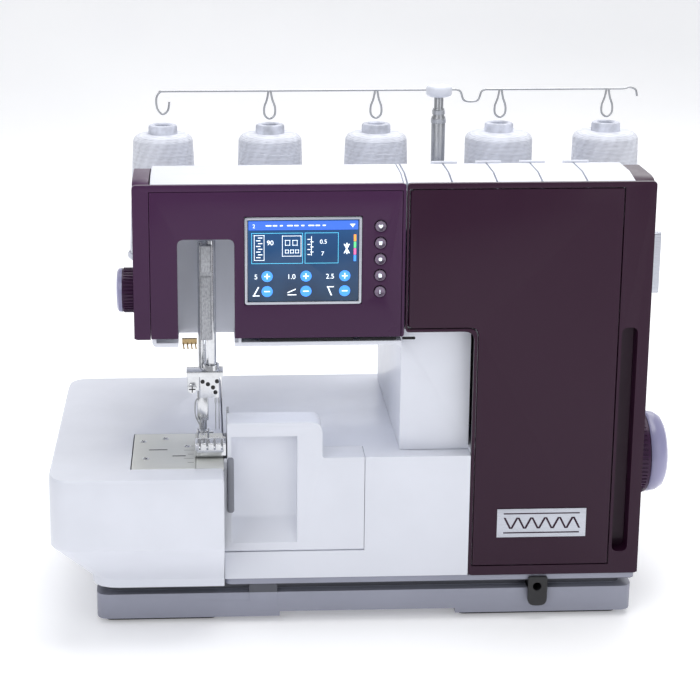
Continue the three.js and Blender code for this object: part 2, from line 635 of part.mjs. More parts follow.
function buildPresser() {
  const lift = groupAt(presserX, presserY, bedHeight);
  const bar = barZ(0, 0, presserBarRadius, 40, casingTop - wall - 15 - bedHeight, 16);
  const ankle = join(alongZ(rectangle(-4.3, 4.3, -3, 5.5, 1), 21, 44), box(-2.8, 2.8, -2.5, 3, 13.2, 22));
  const pin = barX(0, 10.4, 1.1, -5, 8, 12);
  const lug = box(-1.8, 1.8, -2.5, 2.5, 8.6, 15);
  add("presser_bar", join(bar, ankle, pin, lug), chrome, lift);

  const foot = groupAt(presserX, presserY, bedHeight + 10.4);
  const middle = footMiddle - presserX;
  const half = footWidth / 2;
  const front = 0.5 - presserY;
  const rear = front + footLength;
  const sole = alongX(outline([[front, -7.4], [front + 3, -10.1], [0, -10.1], [rear, -8.2], [rear, -6.2],
    [front + 18, -6.2],
    [front + 12, footHeight - 10.4, 1], [front, footHeight - 10.4, 1]]), middle - half, middle + half);
  const ears = [-4.6, 3.2].map((x) => alongX(rectangle(-3, 3, -7, 3, 2), x, x + 1.4));
  const pinHole = barX(0, 0, 1.1 + gap / 2, -12, 12, 12);
  const needleGap = box(-presserX - 0.5, -presserX + 9, needleY - presserY - 4, needleY - presserY + 4, -12,
    4);
  const toeSlots = [-8, -2.5, 3, 8.5].map((x) => box(middle + x - 0.8, middle + x + 0.8, front - 1,
    front + 10, -3, 5));
  add("presser_foot", cut(join(sole, ...ears), pinHole, needleGap, ...toeSlots), chrome, foot);
}

function buildHeadDetails() {
  const railX = -3.5;
  const rail = join(alongZ(rectangle(railX - 4.7, railX + 4.7, 9, 13, 0.6), headBottom - 3,
    needleOpening.top - 6.6),
    alongZ(rectangle(railX - 3.6, railX + 3.6, 7.6, 10, 0.6), headBottom - 3, headBottom + 45.5),
    alongZ(rectangle(railX - 3.6, railX + 3.6, 7.6, 10, 0.6), headBottom + 49, needleOpening.top - 6.6));
  add("needle_rail", rail, steel);
  const lampZ = headBottom - lipDrop;
  add("sewing_lamp", box(24, columnLeft - 42, 16, 40, lampZ - 2.6, lampZ - gap), glass);
  const lever = groupAt(16, bodyDepth - 20, lampZ + 8);
  const handle = join(barX(0, 0, 5, -4, 4, 16), alongX(outline([[-3, 2], [0, -2], [20, -30, 4],
    [40, -30, 3], [40, -25, 2], [22, -25, 3],
    [3, 4]]), -3, 3));
  add("presser_lift_lever", handle, black, lever);
}

// ---------------------------------------------------------------- drive
function buildDrive() {
  const shaft = groupAt(0, shaftY, shaftZ);
  const shaftLeft = 70;
  add("main_shaft", join(barX(0, 0, shaftRadius, shaftLeft, right + wheelWidth - 6, 20),
    barX(0, 0, drivenRadius, beltX - beltWidth / 2, beltX + beltWidth / 2, round)), steel, shaft);
  const wheel = turned([[shaftRadius + 0.3, 1], [wheelRadius - 3, 1], [wheelRadius, 4], [wheelRadius, 19],
    [wheelRadius - 3, 28],
    [wheelRadius - 12, wheelWidth - 1], [shaftRadius + 4, wheelWidth + 0.3],
      [shaftRadius + 0.3, wheelWidth]], 36);
  wheel.rotateY(Math.PI / 2);
  add("handwheel", wheel, plum, shaft, [right + gap, 0, 0]);

  const motor = groupAt(0, shaftY, motorZ);
  const frame = join(barX(0, 0, 28, beltX - 96, beltX - 16, round),
    box(beltX - 88, beltX - 24, -20, 20, bedHeight + wall + 2 * gap - motorZ, -16));
  add("drive_motor", cut(frame, barX(0, 0, 3 + gap, beltX - 40, beltX, 16)), iron, motor);
  const pulley = join(barX(0, 0, 3, beltX - 36, beltX + 6, 16),
    barX(0, 0, motorPulleyRadius, beltX - beltWidth / 2, beltX + beltWidth / 2, 20));
  add("motor_pulley", pulley, steel, motor);

  const loop = (extra) => {
    const shape = new THREE.Shape();
    shape.absarc(0, 0, drivenRadius + extra, Math.PI, 2 * Math.PI, false);
    shape.absarc(0, motorRise, motorPulleyRadius + extra, 0, Math.PI, false);
    shape.closePath();
    return shape;
  };
  const belt = cut(alongX(loop(slack + beltThick), beltX - beltWidth / 2, beltX + beltWidth / 2, 14),
    alongX(loop(slack), beltX - beltWidth, beltX + beltWidth, 14));
  add("drive_belt", belt, rubber, shaft);
}

function buildSideFittings() {
  const dialY = 60;
  const dialZ = headBottom + 22.5;
  const dial = turned([[0, 0.4], [17.5, 0.4], [17.5, 11], [15.5, 14.6], [12, 14.9], [0, 14.9]],
    round).rotateY(-Math.PI / 2);
  add("side_dial", dial, plum, groupAt(left, dialY, dialZ));
  const lever = groupAt(right, leverY, leverZ);
  const blade = alongX(rectangle(-8, 8, -27, 27, 5), -1.5, 2);
  const grip = alongX(rectangle(-5, 5, -24, 24, 4), 1.5, 14);
  add("side_lever", join(blade, grip), silver, lever);

  const socket = cut(
    box(casingRight + gap, right + gap, inletY - 16 + gap, inletY + 16 - gap, powerZ - 12 + gap,
      powerZ + 12 - gap),
    box(right - 9, right + 2, inletY - 12, inletY + 12, powerZ - 8, powerZ + 8));
  const pins = [-7, 0, 7].map((y) => box(right - 10, right - 2, inletY + y - 1, inletY + y + 1, powerZ - 2,
    powerZ + 3));
  add("power_inlet", join(socket, ...pins), black);
  const rocker = alongX(rectangle(-11.2, 11.2, -9.2, 9.2, 2), -7, 0);
  const hump = alongY(outline([[-0.4, -8.6], [2.4, -8.4], [0.6, 0], [-0.4, 8.6]]), -10, 10);
  add("power_switch", join(rocker, hump), black, groupAt(right, switchY, powerZ));
}

// ---------------------------------------------------------------- thread stand
function buildStand() {
  const trayTop = standRise;
  const rear = standY + standDepth / 2;
  const front = standY - standDepth / 2;
  const tray = alongZ(rectangle(left - standOver, right + standRight, front, rear, 16), trayTop - 8,
    trayTop);
  const hollow = alongZ(rectangle(left - standOver + wall, right + standRight - wall, front + wall,
    rear - wall, 13), trayTop - 9, trayTop - wall);
  const arms = [left + 86.4, right - 106.7].map((x) =>
    box(x, x + 60, bodyDepth + gap, front + 6, trayTop - 7, trayTop - 1));
  const pins = coneSpots.map((x) => barZ(x, standY, coneBore - slack - 1, trayTop - 1, trayTop + 70, 14));
  add("thread_stand", join(cut(tray, hollow), ...arms, ...pins), white);
  coneSpots.forEach((x, i) => {
    const crown = coneTops[i];
    const cone = turned([[coneBore, 0], [coneBase + 2, 0], [coneBase + 2, 4], [coneBase, 5],
      [crown, coneHeight - 9],
      [crown - 3, coneHeight - 5], [coreRadius + 1, coneHeight], [coreRadius, coneHeight + 7],
        [coneBore, coneHeight + 7]], 24);
    add(`thread_cone_${i + 1}`, cone, cotton, groupAt(x, standY, trayTop + gap));
  });
}

function buildMast() {
  const tube = (radius, low, high) => cut(barZ(0, 0, radius, low, high, 18),
    barZ(0, 0, radius - mastStep + 0.3, low + 3, high + 1, 18));
  const mast = groupAt(mastX, standY, 0);
  add("mast_lower", tube(mastRadius, standRise + gap, mastTop), steel, mast);
  add("mast_middle", tube(mastRadius - mastStep, standRise + 4, mastTop + 7), steel, mast);
  add("mast_upper", barZ(0, 0, mastRadius - 2 * mastStep, standRise + 8, mastTop + 16.8, 18), steel, mast);
  const cap = turned([[0, 17.2], [9, 17.2], [11.2, 19], [11.2, 25], [9, 27.2], [0, 27.2]], 24);
  const wireRoom = barX(0, wireRise - mastTop, wireRadius + gap, -14, 14, 8);
  add("mast_cap", cut(cap, wireRoom), white, groupAt(mastX, standY, mastTop));
  buildWire();
}

const hookLeft = coneSpots[0] - 6;      // outer end of the open hook on the left
const hookRight = coneSpots[4] + 27;    // outer end of the hook on the right
const dip = { from: mastX + 14.7, to: mastX + 40.7, drop: 9.5 };
const loopOffsets = [-0.3, -0.3, 0.5, 0.3];   // each loop from the cone below it
const loopSpots = loopOffsets.map((offset, i) => coneSpots[i + 1] + offset);
const loopWidth = 10.8;
const loopHeight = 24;

// A round wire through [x, z] points, in the plane of the stand's middle.
function wire(points, steps) {
  const path = new THREE.CatmullRomCurve3(points.map(([x, z]) => new THREE.Vector3(x, 0, z)));
  const section = new THREE.Shape().absarc(0, 0, wireRadius, 0, 2 * Math.PI);
  return new THREE.ExtrudeGeometry(section, { steps, extrudePath: path, curveSegments: 3,
    bevelEnabled: false });
}

function buildWire() {
  const pieces = [
    barX(0, 0, wireRadius, hookLeft + 8, dip.from + 1, 8),
    barX(0, 0, wireRadius, dip.to - 1, hookRight - 13, 8),
    wire([[hookLeft + 9, 0], [hookLeft + 4, -0.8], [hookLeft + 0.9, -6], [hookLeft + 1.6, -15],
      [hookLeft + 6, -19.5],
      [hookLeft + 10.5, -16.5], [hookLeft + 12, -9]], 12),
    wire([[dip.from, 0], [dip.from + 4, -2], [dip.from + 7.5, -dip.drop], [dip.to - 7.5, -dip.drop],
      [dip.to - 4, -2], [dip.to, 0]], 10),
    wire([[hookRight - 14, 0], [hookRight - 8, 1.2], [hookRight - 2.5, -1], [hookRight - 0.9, -6.5]], 8),
  ];
  for (const x of loopSpots) {
    for (const side of [-1, 1]) {
      const wide = (side * loopWidth) / 2;
      pieces.push(wire([[x + side * 1.4, 0], [x + wide * 0.42, -loopHeight * 0.3],
        [x + wide * 0.84, -loopHeight * 0.6],
        [x + wide * 0.78, -loopHeight * 0.88], [x - side * 0.5, -loopHeight]], 7));
    }
  }
  add("guide_wire", join(...pieces), steel, groupAt(0, standY, wireRise));
}

// ---------------------------------------------------------------- whole machine
buildBase();
buildKneeSocket();
buildBed();
buildFreeArm();
buildFeedDog();
buildExtension();
buildLooperCover();
buildLoopers();
buildCasing();
buildFronts();
buildRightFront();
buildTop();
buildThreadingPanel();
buildNeedleBar();
buildPresser();
buildHeadDetails();
buildDrive();
buildSideFittings();
buildStand();
buildMast();

const extent = new THREE.Box3().setFromObject(machine);
const centre = extent.getCenter(new THREE.Vector3());
machine.position.set(-centre.x, -centre.y, -extent.min.z);
const group = new THREE.Group();
group.add(machine);
export default group;
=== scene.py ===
"""Finishes and fine surfaces for an overlock sewing machine, built round its CAD frame.

Metres, in the frame of the CAD model: +X to the user's right, +Y to the rear, +Z up.
"""
import json
import math

import bmesh
import bpy
from mathutils import Matrix, Vector


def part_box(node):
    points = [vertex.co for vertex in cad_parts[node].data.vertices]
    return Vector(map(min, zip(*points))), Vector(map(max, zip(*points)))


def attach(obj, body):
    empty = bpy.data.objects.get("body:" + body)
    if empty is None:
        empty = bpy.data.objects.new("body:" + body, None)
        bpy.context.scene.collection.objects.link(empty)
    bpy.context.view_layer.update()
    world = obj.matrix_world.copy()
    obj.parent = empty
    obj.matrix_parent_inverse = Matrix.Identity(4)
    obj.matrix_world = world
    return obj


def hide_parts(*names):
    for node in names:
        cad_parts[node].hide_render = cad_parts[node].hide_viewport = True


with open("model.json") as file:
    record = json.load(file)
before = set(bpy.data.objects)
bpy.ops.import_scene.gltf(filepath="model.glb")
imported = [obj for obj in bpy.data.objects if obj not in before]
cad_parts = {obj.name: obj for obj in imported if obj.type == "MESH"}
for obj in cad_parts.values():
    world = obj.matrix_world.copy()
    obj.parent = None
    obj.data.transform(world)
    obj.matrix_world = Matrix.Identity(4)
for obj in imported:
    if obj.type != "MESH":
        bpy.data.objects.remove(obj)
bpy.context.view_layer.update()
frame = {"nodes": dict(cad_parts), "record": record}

bl_info = {
    "name": "Overlock machine finishes",
    "version": (1, 0, 0),
    "blender": (4, 5, 0),
    "location": "View3D > Sidebar > Overlock",
    "description": "Builds the finished surfaces of an overlock sewing machine round its CAD frame",
    "category": "Object",
}

MM = 0.001
SLOTS = {row["node"]: row["material_slot"] for row in frame["record"]["subparts"]}
BODIES = {node: body for body, nodes in frame["record"]["behaviour"]["bodies"].items() for node in nodes}


# ---------------------------------------------------------------- settings
class OverlockColours(bpy.types.PropertyGroup):
    """Colours of the moulded, painted and wound surfaces, linear."""
    plum: bpy.props.FloatVectorProperty(
        name="Head", description="Glossy plum of the head and wheels", subtype="COLOR",
        default=(0.05, 0.014, 0.054))
    plum_dark: bpy.props.FloatVectorProperty(
        name="Door", description="Darker plum of the door and its frame", subtype="COLOR",
        default=(0.028, 0.0065, 0.022))
    white: bpy.props.FloatVectorProperty(
        name="Casing", description="Cool white of the casings", subtype="COLOR", default=(0.76, 0.78, 0.85))
    base: bpy.props.FloatVectorProperty(
        name="Base", description="Satin grey of the base", subtype="COLOR", default=(0.30, 0.31, 0.38))
    lilac: bpy.props.FloatVectorProperty(
        name="Rings", description="Lilac rings of the wheels", subtype="COLOR", default=(0.32, 0.31, 0.50))
    thread: bpy.props.FloatVectorProperty(
        name="Thread", description="Wound thread", subtype="COLOR", default=(0.80, 0.82, 0.90))


class OverlockSizes(bpy.types.PropertyGroup):
    """Sizes of the fine details."""
    casing_edge: bpy.props.FloatProperty(
        name="Casing edge", description="Rounding of the moulded edges", default=1.1 * MM, unit="LENGTH")
    metal_edge: bpy.props.FloatProperty(
        name="Metal edge", description="Rounding of the metal edges", default=0.3 * MM, unit="LENGTH")
    grip_count: bpy.props.IntProperty(
        name="Grip ribs", description="Ribs round the handwheel's rim", default=60, min=12)
    winding_turns: bpy.props.FloatProperty(
        name="Winding turns", description="Turns of the outer strand of each cone", default=9.0, min=1.0)
    winding_relief: bpy.props.FloatProperty(
        name="Winding relief", description="Depth of the crossed windings", default=0.16 * MM, unit="LENGTH")


class OverlockCamera(bpy.types.PropertyGroup):
    """Where the camera stands and how it looks."""
    place: bpy.props.FloatVectorProperty(
        name="Place", description="Where the camera stands", subtype="XYZ", default=(-0.13, -1.404, 0.608))
    pan: bpy.props.FloatProperty(
        name="Pan", description="Turn to the right", subtype="ANGLE", default=math.radians(2.39))
    tilt: bpy.props.FloatProperty(
        name="Tilt", description="Tilt downwards", subtype="ANGLE", default=math.radians(14.62))
    lens: bpy.props.FloatProperty(
        name="Lens", description="Focal length in millimetres", default=92.8)
    shift: bpy.props.FloatVectorProperty(
        name="Shift", description="Sideways and upward shift", size=2, default=(0.1, -0.1))


# ---------------------------------------------------------------- shader maths
class Wire:
    """A shader socket, with arithmetic that adds Math nodes."""

    def __init__(self, finish, socket):
        self.finish = finish
        self.socket = socket

    def maths(self, operation, *others):
        terms = [self, *others]
        return self.finish.node("ShaderNodeMath", {"operation": operation}, dict(enumerate(terms)))

    def __add__(self, other):
        return self.maths("ADD", other)

    def __mul__(self, other):
        return self.maths("MULTIPLY", other)

    def __gt__(self, other):
        return self.maths("GREATER_THAN", other)

    def __lt__(self, other):
        return self.maths("LESS_THAN", other)

    def sine(self):
        return self.maths("SINE")

    def between(self, low, high):
        """1 where the value lies between low and high."""
        return (self > low) * (self < high)

    def spread(self, low, high, to_low=0.0, to_high=1.0):
        """The value, rescaled and clamped."""
        values = {"Value": self, "From Min": low, "From Max": high, "To Min": to_low, "To Max": to_high}
        return self.finish.node("ShaderNodeMapRange", {"clamp": True}, values)


class Finish:
    """One procedural material on a Principled shader."""

    def __init__(self, name, roughness=0.4, metallic=0.0, coat=0.0, **constants):
        self.material = bpy.data.materials.new(name)
        self.material.use_nodes = True
        self.tree = self.material.node_tree
        self.shader = self.tree.nodes["Principled BSDF"]
        self.set("Roughness", roughness)
        self.set("Metallic", metallic)
        self.set("Coat Weight", coat)
        for label, value in constants.items():
            self.set(label.replace("_", " "), value)

    def node(self, kind, settings=None, values=None, out=0):
        """Adds a node, sets it up, fills its sockets with values or links, and returns an output."""
        made = self.tree.nodes.new(kind)
        for key, value in (settings or {}).items():
            setattr(made, key, value)
        for key, value in (values or {}).items():
            self.feed(made.inputs[key], value)
        return Wire(self, made.outputs[out])

    def feed(self, socket, value):
        if isinstance(value, Wire):
            self.tree.links.new(value.socket, socket)
        elif isinstance(value, (tuple, list)) and len(value) == 3 and len(socket.default_value) == 4:
            socket.default_value = (*value, 1.0)
        else:
            socket.default_value = value

    def set(self, label, value):
        self.feed(self.shader.inputs[label], value)

    def place(self):
        """Object coordinates and their three parts."""
        where = self.node("ShaderNodeTexCoord", out="Object")
        parts = self.node("ShaderNodeSeparateXYZ", values={0: where})
        x, y, z = (Wire(self, parts.socket.node.outputs[axis]) for axis in range(3))
        return where, x, y, z

    def stretched(self, where, scale):
        return self.node("ShaderNodeVectorMath", {"operation": "MULTIPLY"}, {0: where, 1: scale})

    def noise(self, where, scale, detail=3.0, roughness=0.5):
        values = {"Vector": where, "Scale": scale, "Detail": detail, "Roughness": roughness}
        return self.node("ShaderNodeTexNoise", {}, values)

    def mix(self, factor, first, second):
        return self.node("ShaderNodeMix", {"data_type": "RGBA"}, {0: factor, 6: first, 7: second}, out=2)

    def bump(self, height, distance, strength=1.0):
        values = {"Height": height, "Distance": distance, "Strength": strength}
        self.set("Normal", self.node("ShaderNodeBump", {}, values))


def shade(colour, factor):
    return tuple(min(1.0, part * factor) for part in colour)


def moulded(name, colour, roughness, coat, grain=0.00001, tint=0.94, painted_shade_below=None, **constants):
    """Moulded or painted plastic: faint mottling, fine grain, slightly uneven gloss, and optional painted
    shade that darkens it towards the bottom.
    """
    finish = Finish(name, roughness=roughness, coat=coat, Coat_Roughness=0.12, **constants)
    where, _, _, height = finish.place()
    cloud = finish.noise(where, 22.0, 4.0)
    surface = finish.mix(cloud.spread(0.3, 0.7), shade(colour, tint), colour)
    # painted shade: the colour darkens towards the bottom, from height high down to height low
    if painted_shade_below:
        low, high, darkest = painted_shade_below
        surface = finish.mix(height.spread(low, high), shade(colour, darkest), surface)
    finish.set("Base Color", surface)
    finish.set("Roughness", finish.noise(where, 60.0).spread(0.2, 0.8, roughness * 0.85, roughness * 1.2))
    finish.bump(finish.noise(where, 2600.0, 2.0), grain, 0.5)
    return finish.material


def flaked(name, colour, roughness, coat, low, high):
    """Plum lacquer with a fine flake under a clear coat, with painted shade: darker towards the bottom and
    lighter towards the top.
    """
    finish = Finish(name, roughness=roughness, coat=coat, Coat_Roughness=0.1, Specular_IOR_Level=0.2)
    where, _, _, height = finish.place()
    flake = finish.noise(where, 5200.0, 1.0).spread(0.56, 0.72)
    # painted shade: a shaded copy of the colour low down and a lit copy high up, blended between heights low
    # and high
    body = finish.mix(height.spread(low, high), shade(colour, 0.84), shade(colour, 1.08))
    finish.set("Base Color", finish.mix(flake * 0.35, body, shade(colour, 2.6)))
    finish.set("Metallic", flake * 0.5)
    gloss = finish.noise(where, 45.0, 3.0).spread(0.25, 0.75, roughness * 0.9, roughness * 1.15)
    finish.set("Roughness", gloss)
    finish.bump(finish.noise(where, 900.0, 2.0), 0.000012, 0.35)
    return finish.material


def brushed(name, colour, roughness, grain, contrast=0.25, depth=0.00001, metallic=1.0):
    """Metal brushed along one axis: grain is the stretch of the scratches on each axis."""
    finish = Finish(name, metallic=metallic)
    where, _, _, _ = finish.place()
    streak = finish.noise(finish.stretched(where, grain), 1.0, 4.0, 0.6)
    wear = finish.noise(where, 70.0, 4.0)
    finish.set("Base Color", finish.mix(streak.spread(0.3, 0.7), shade(colour, 1 - contrast), colour))
    gloss = streak.spread(0.3, 0.7, roughness * 0.8, roughness * 1.25)
    finish.set("Roughness", gloss + wear.spread(0.5, 0.8, 0.0, 0.08))
    finish.bump(streak, depth, 0.6)
    return finish.material


def polished(name, colour, roughness=0.12):
    """Plated metal with faint smears and hairlines."""
    finish = Finish(name, metallic=1.0)
    where, _, _, _ = finish.place()
    smear = finish.noise(where, 160.0, 5.0, 0.65)
    finish.set("Base Color", finish.mix(smear.spread(0.35, 0.65), shade(colour, 0.86), colour))
    finish.set("Roughness", smear.spread(0.35, 0.75, roughness * 0.7, roughness * 2.2))
    finish.bump(finish.noise(where, 1400.0, 2.0), 0.000006, 0.3)
    return finish.material


def grained(name, colour, roughness, scale=1800.0, depth=0.00004):
    """Rubber or matt moulding with a pebbled grain."""
    finish = Finish(name, roughness=roughness)
    where, _, _, _ = finish.place()
    pebble = finish.noise(where, scale, 2.0)
    cloud = finish.noise(where, 90.0).spread(0.3, 0.7)
    finish.set("Base Color", finish.mix(cloud, shade(colour, 0.7), shade(colour, 1.25)))
    finish.set("Roughness", pebble.spread(0.3, 0.7, roughness * 0.85, min(1.0, roughness * 1.1)))
    finish.bump(pebble, depth, 0.6)
    return finish.material


def base_paint(name, colour):
    """Satin grey base with painted shade: darker towards the bottom, and far darker in the waist between rim
    and tray, under the rim.
    """
    finish = Finish(name, metallic=0.25, coat=0.15)
    where, _, _, height = finish.place()
    # painted shade: the waist between rim and tray, under the rim, is painted far darker
    waist_shade = height.between(25.3 * MM, 33.0 * MM)
    tone = finish.mix(finish.noise(where, 26.0).spread(0.3, 0.7), shade(colour, 0.92), colour)
    # painted shade: darker towards the bottom, below 25 mm
    tone = finish.mix(height.spread(5 * MM, 25 * MM), shade(colour, 0.86), tone)
    finish.set("Base Color", finish.mix(waist_shade, tone, shade(colour, 0.26)))
    finish.set("Roughness", finish.noise(where, 240.0).spread(0.3, 0.7, 0.34, 0.46))
    finish.bump(finish.noise(where, 3000.0, 2.0), 0.00001, 0.4)
    return finish.material


def wound_thread(name, colour):
    """Cross-wound thread on its own UV map: U once round, V up the cone in metres."""
    finish = Finish(name, roughness=0.86, Sheen_Weight=0.35, Sheen_Roughness=0.5)
    where = finish.node("ShaderNodeTexCoord", out="UV")
    parts = finish.node("ShaderNodeSeparateXYZ", values={0: where})
    turn = Wire(finish, parts.socket.node.outputs[0]) * math.tau
    rise = Wire(finish, parts.socket.node.outputs[1])
    up = (turn * 9.0 + rise * 5200.0).sine()
    down = (turn * -11.0 + rise * 5600.0).sine()
    coarse = (turn * 3.0 + rise * 820.0).sine() * (turn * -3.0 + rise * 900.0).sine()
    relief = up * 0.5 + down * 0.5 + coarse * 0.7
    shadow = relief.spread(-1.4, 1.2)
    finish.set("Base Color", finish.mix(shadow, shade(colour, 0.74), colour))
    finish.set("Roughness", shadow.spread(0.0, 1.0, 0.95, 0.75))
    finish.bump(relief, 0.00022, 0.8)
    return finish.material


def lit_panel(name, low, high, strength=0.85):
    """The display's background: deep blue at the top, teal and darker at the bottom."""
    finish = Finish(name, roughness=0.12, Emission_Strength=strength)
    where, _, _, height = finish.place()
    fade = height.spread(low, high)
    picture = finish.mix(fade, (0.004, 0.012, 0.03), (0.012, 0.05, 0.14))
    picture = finish.mix(finish.noise(where, 35.0).spread(0.3, 0.8) * 0.25, picture, (0.02, 0.09, 0.2))
    finish.set("Base Color", picture)
    finish.set("Emission Color", picture)
    finish.set("Roughness", finish.noise(where, 300.0).spread(0.3, 0.7, 0.06, 0.12))
    return finish.material


def lit_mark(name, colour, strength=1.0):
    """A lit mark on the display, slightly brighter in its middle rows."""
    finish = Finish(name, roughness=0.3, Emission_Strength=strength)
    _, _, _, height = finish.place()
    row = (height * 9000.0).sine().spread(-1.0, 1.0, 0.9, 1.0)
    tone = finish.mix(row, shade(colour, 0.85), colour)
    finish.set("Base Color", tone)
    finish.set("Emission Color", tone)
    return finish.material


def build_finishes(colours):
    """Every finish of the machine, by the record's slot or by its own name."""
    white = tuple(colours.white)
    plum = tuple(colours.plum)
    dark = tuple(colours.plum_dark)
    return {
        # painted shade on the white casing: darker towards the bottom, below 0.12 m
        "white_casing": moulded("cool white moulding", white, 0.36, 0.25, painted_shade_below=(0.0, 0.12, 0.9)),
        "base_grey": base_paint("satin grey base", tuple(colours.base)),
        "plum_gloss": flaked("plum lacquer", plum, 0.3, 0.14, 0.24, 0.34),
        "plum_door": flaked("dark plum lacquer", dark, 0.32, 0.1, 0.04, 0.34),
        "black_plastic": grained("black moulding", (0.012, 0.012, 0.014), 0.42, 2600.0, 0.00002),
        "rubber": grained("pad rubber", (0.018, 0.018, 0.02), 0.85),
        "arm_grey": brushed("cast arm", (0.34, 0.35, 0.38), 0.42, (300.0, 300.0, 300.0), 0.2, 0.00002, 0.8),
        "satin_plate": brushed("satin needle plate", (0.74, 0.75, 0.72), 0.42, (90.0, 3200.0, 900.0), 0.1,
                               0.000006, 0.55),
        "steel": brushed("ground steel", (0.50, 0.51, 0.53), 0.3, (1500.0, 1500.0, 120.0), 0.22),
        "chrome": polished("plated metal", (0.72, 0.73, 0.75)),
        "brushed_silver": brushed("brushed silver", (0.56, 0.58, 0.64), 0.3, (60.0, 400.0, 3600.0), 0.2),
        "rail_face": brushed("scored rail", (0.50, 0.51, 0.54), 0.46, (900.0, 900.0, 420.0), 0.5, 0.00005),
        "screen_glass": lit_panel("display glass", 0.258, 0.315),
        "button_chrome": polished("button plating", (0.20, 0.16, 0.22), 0.2),
        "motor_iron": grained("motor paint", (0.03, 0.03, 0.034), 0.5, 900.0),
        "lamp_lens": lit_mark("lamp lens", (0.9, 0.93, 1.0), 2.4),
        "white_thread": wound_thread("cross-wound thread", tuple(colours.thread)),
        "core": grained("cone core", (0.60, 0.62, 0.70), 0.6, 900.0),
        "lilac_ring": moulded("lilac ring", tuple(colours.lilac), 0.3, 0.4),
        "shadow": grained("dark slot", (0.006, 0.006, 0.008), 0.8),
        "clear_guard": moulded("smoked guard", (0.20, 0.21, 0.25), 0.2, 0.5),
        "brass": brushed("brass comb", (0.52, 0.38, 0.20), 0.32, (900.0, 900.0, 200.0), 0.3),
        "screen_blue": lit_mark("display blue", (0.03, 0.11, 0.62)),
        "screen_button": lit_mark("display button", (0.05, 0.26, 0.90)),
        "screen_white": lit_mark("display white", (0.80, 0.88, 0.95)),
        "screen_cyan": lit_mark("display cyan", (0.10, 0.55, 0.80)),
        "screen_orange": lit_mark("display orange", (0.85, 0.30, 0.05)),
        "screen_pink": lit_mark("display pink", (0.75, 0.12, 0.30)),
        "screen_green": lit_mark("display green", (0.10, 0.55, 0.20)),
    }


FINISHES = {}


# ---------------------------------------------------------------- pieces
def piece_from(name, mesh, finish, body, smooth=32.0):
    """A finished piece: smooth but for its sharp corners, one finish, riding on a body."""
    piece = bpy.data.objects.new(name, mesh)
    bpy.context.scene.collection.objects.link(piece)
    mesh.materials.clear()
    mesh.materials.append(FINISHES[finish])
    mesh.polygons.foreach_set("use_smooth", [True] * len(mesh.polygons))
    mesh.set_sharp_from_angle(angle=math.radians(smooth))
    mesh.update()
    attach(piece, body)
    return piece


def settled(mesh, *modifiers):
    """The mesh with modifiers applied; each is a kind and its settings."""
    carrier = bpy.data.objects.new("carrier", mesh)
    bpy.context.scene.collection.objects.link(carrier)
    for kind, settings in modifiers:
        modifier = carrier.modifiers.new(kind, kind)
        for key, value in settings.items():
            setattr(modifier, key, value)
    result = bpy.data.meshes.new_from_object(carrier.evaluated_get(bpy.context.evaluated_depsgraph_get()))
    bpy.data.objects.remove(carrier)
    return result


def rounding(width, segments=3, angle=32.0):
    return ("BEVEL", {"width": width, "segments": segments, "limit_method": "ANGLE",
                      "angle_limit": math.radians(angle), "use_clamp_overlap": True})


def mesh_of(bm, name="shape"):
    mesh = bpy.data.meshes.new(name)
    bm.to_mesh(mesh)
    bm.free()
    return mesh


def frame_mesh(node):
    """A node's CAD solid with its doubles merged and its flat faces whole."""
    bm = bmesh.new()
    bm.from_mesh(frame["nodes"][node].data)
    bmesh.ops.remove_doubles(bm, verts=bm.verts, dist=0.02 * MM)
    bmesh.ops.dissolve_limit(bm, angle_limit=math.radians(0.8), verts=bm.verts, edges=bm.edges)
    return mesh_of(bm, node)


def finished_node(node, width, segments=3, finish=None, angle=32.0):
    """Stands for a CAD node with rounded edges in place of knife-sharp ones."""
    rounded = rounding(width, segments, angle)
    mesh = settled(frame_mesh(node), rounded, ("WEIGHTED_NORMAL", {"keep_sharp": True}))
    piece = piece_from(f"{node}_surface", mesh, finish or SLOTS[node], BODIES[node], 50.0)
    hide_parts(node)
    return piece


def added(name, bm, finish, host, width=0.0, segments=2, smooth=32.0):
    """A detail made with bmesh, riding with the node it sits on."""
    bmesh.ops.recalc_face_normals(bm, faces=bm.faces)
    mesh = mesh_of(bm, name)
    if width:
        mesh = settled(mesh, rounding(width, segments))
    return piece_from(name, mesh, finish, BODIES[host], smooth)


def block(bm, low, high):
    """Adds a box between two corners."""
    made = bmesh.ops.create_cube(bm, size=1.0)["verts"]
    spread = Vector(high) - Vector(low)
    middle = (Vector(high) + Vector(low)) / 2
    for vert in made:
        vert.co = Vector(part * size for part, size in zip(vert.co, spread)) + middle
    return made


AXES = {"X": Matrix.Rotation(math.pi / 2, 4, "Y"), "Y": Matrix.Rotation(-math.pi / 2, 4, "X"),
        "Z": Matrix.Identity(4)}


def spun(bm, profile, centre, axis="Z", steps=64):
    """Adds a turned solid: (radius, height) points from one end of the axis to the other."""
    turn = Matrix.Translation(centre) @ AXES[axis]
    rings = []
    for radius, height in profile:
        if radius < 1e-7:
            rings.append([bm.verts.new(turn @ Vector((0, 0, height)))])
            continue
        rings.append([bm.verts.new(turn @ Vector((radius * math.cos(a), radius * math.sin(a), height)))
                      for a in (math.tau * k / steps for k in range(steps))])
    for first, second in zip(rings, rings[1:]):
        for k in range(steps):
            corners = [first[k % len(first)], first[(k + 1) % steps % len(first)],
                       second[(k + 1) % steps % len(second)], second[k % len(second)]]
            corners = [v for i, v in enumerate(corners) if v not in corners[:i]]
            if len(corners) > 2:
                bm.faces.new(corners)
    return rings


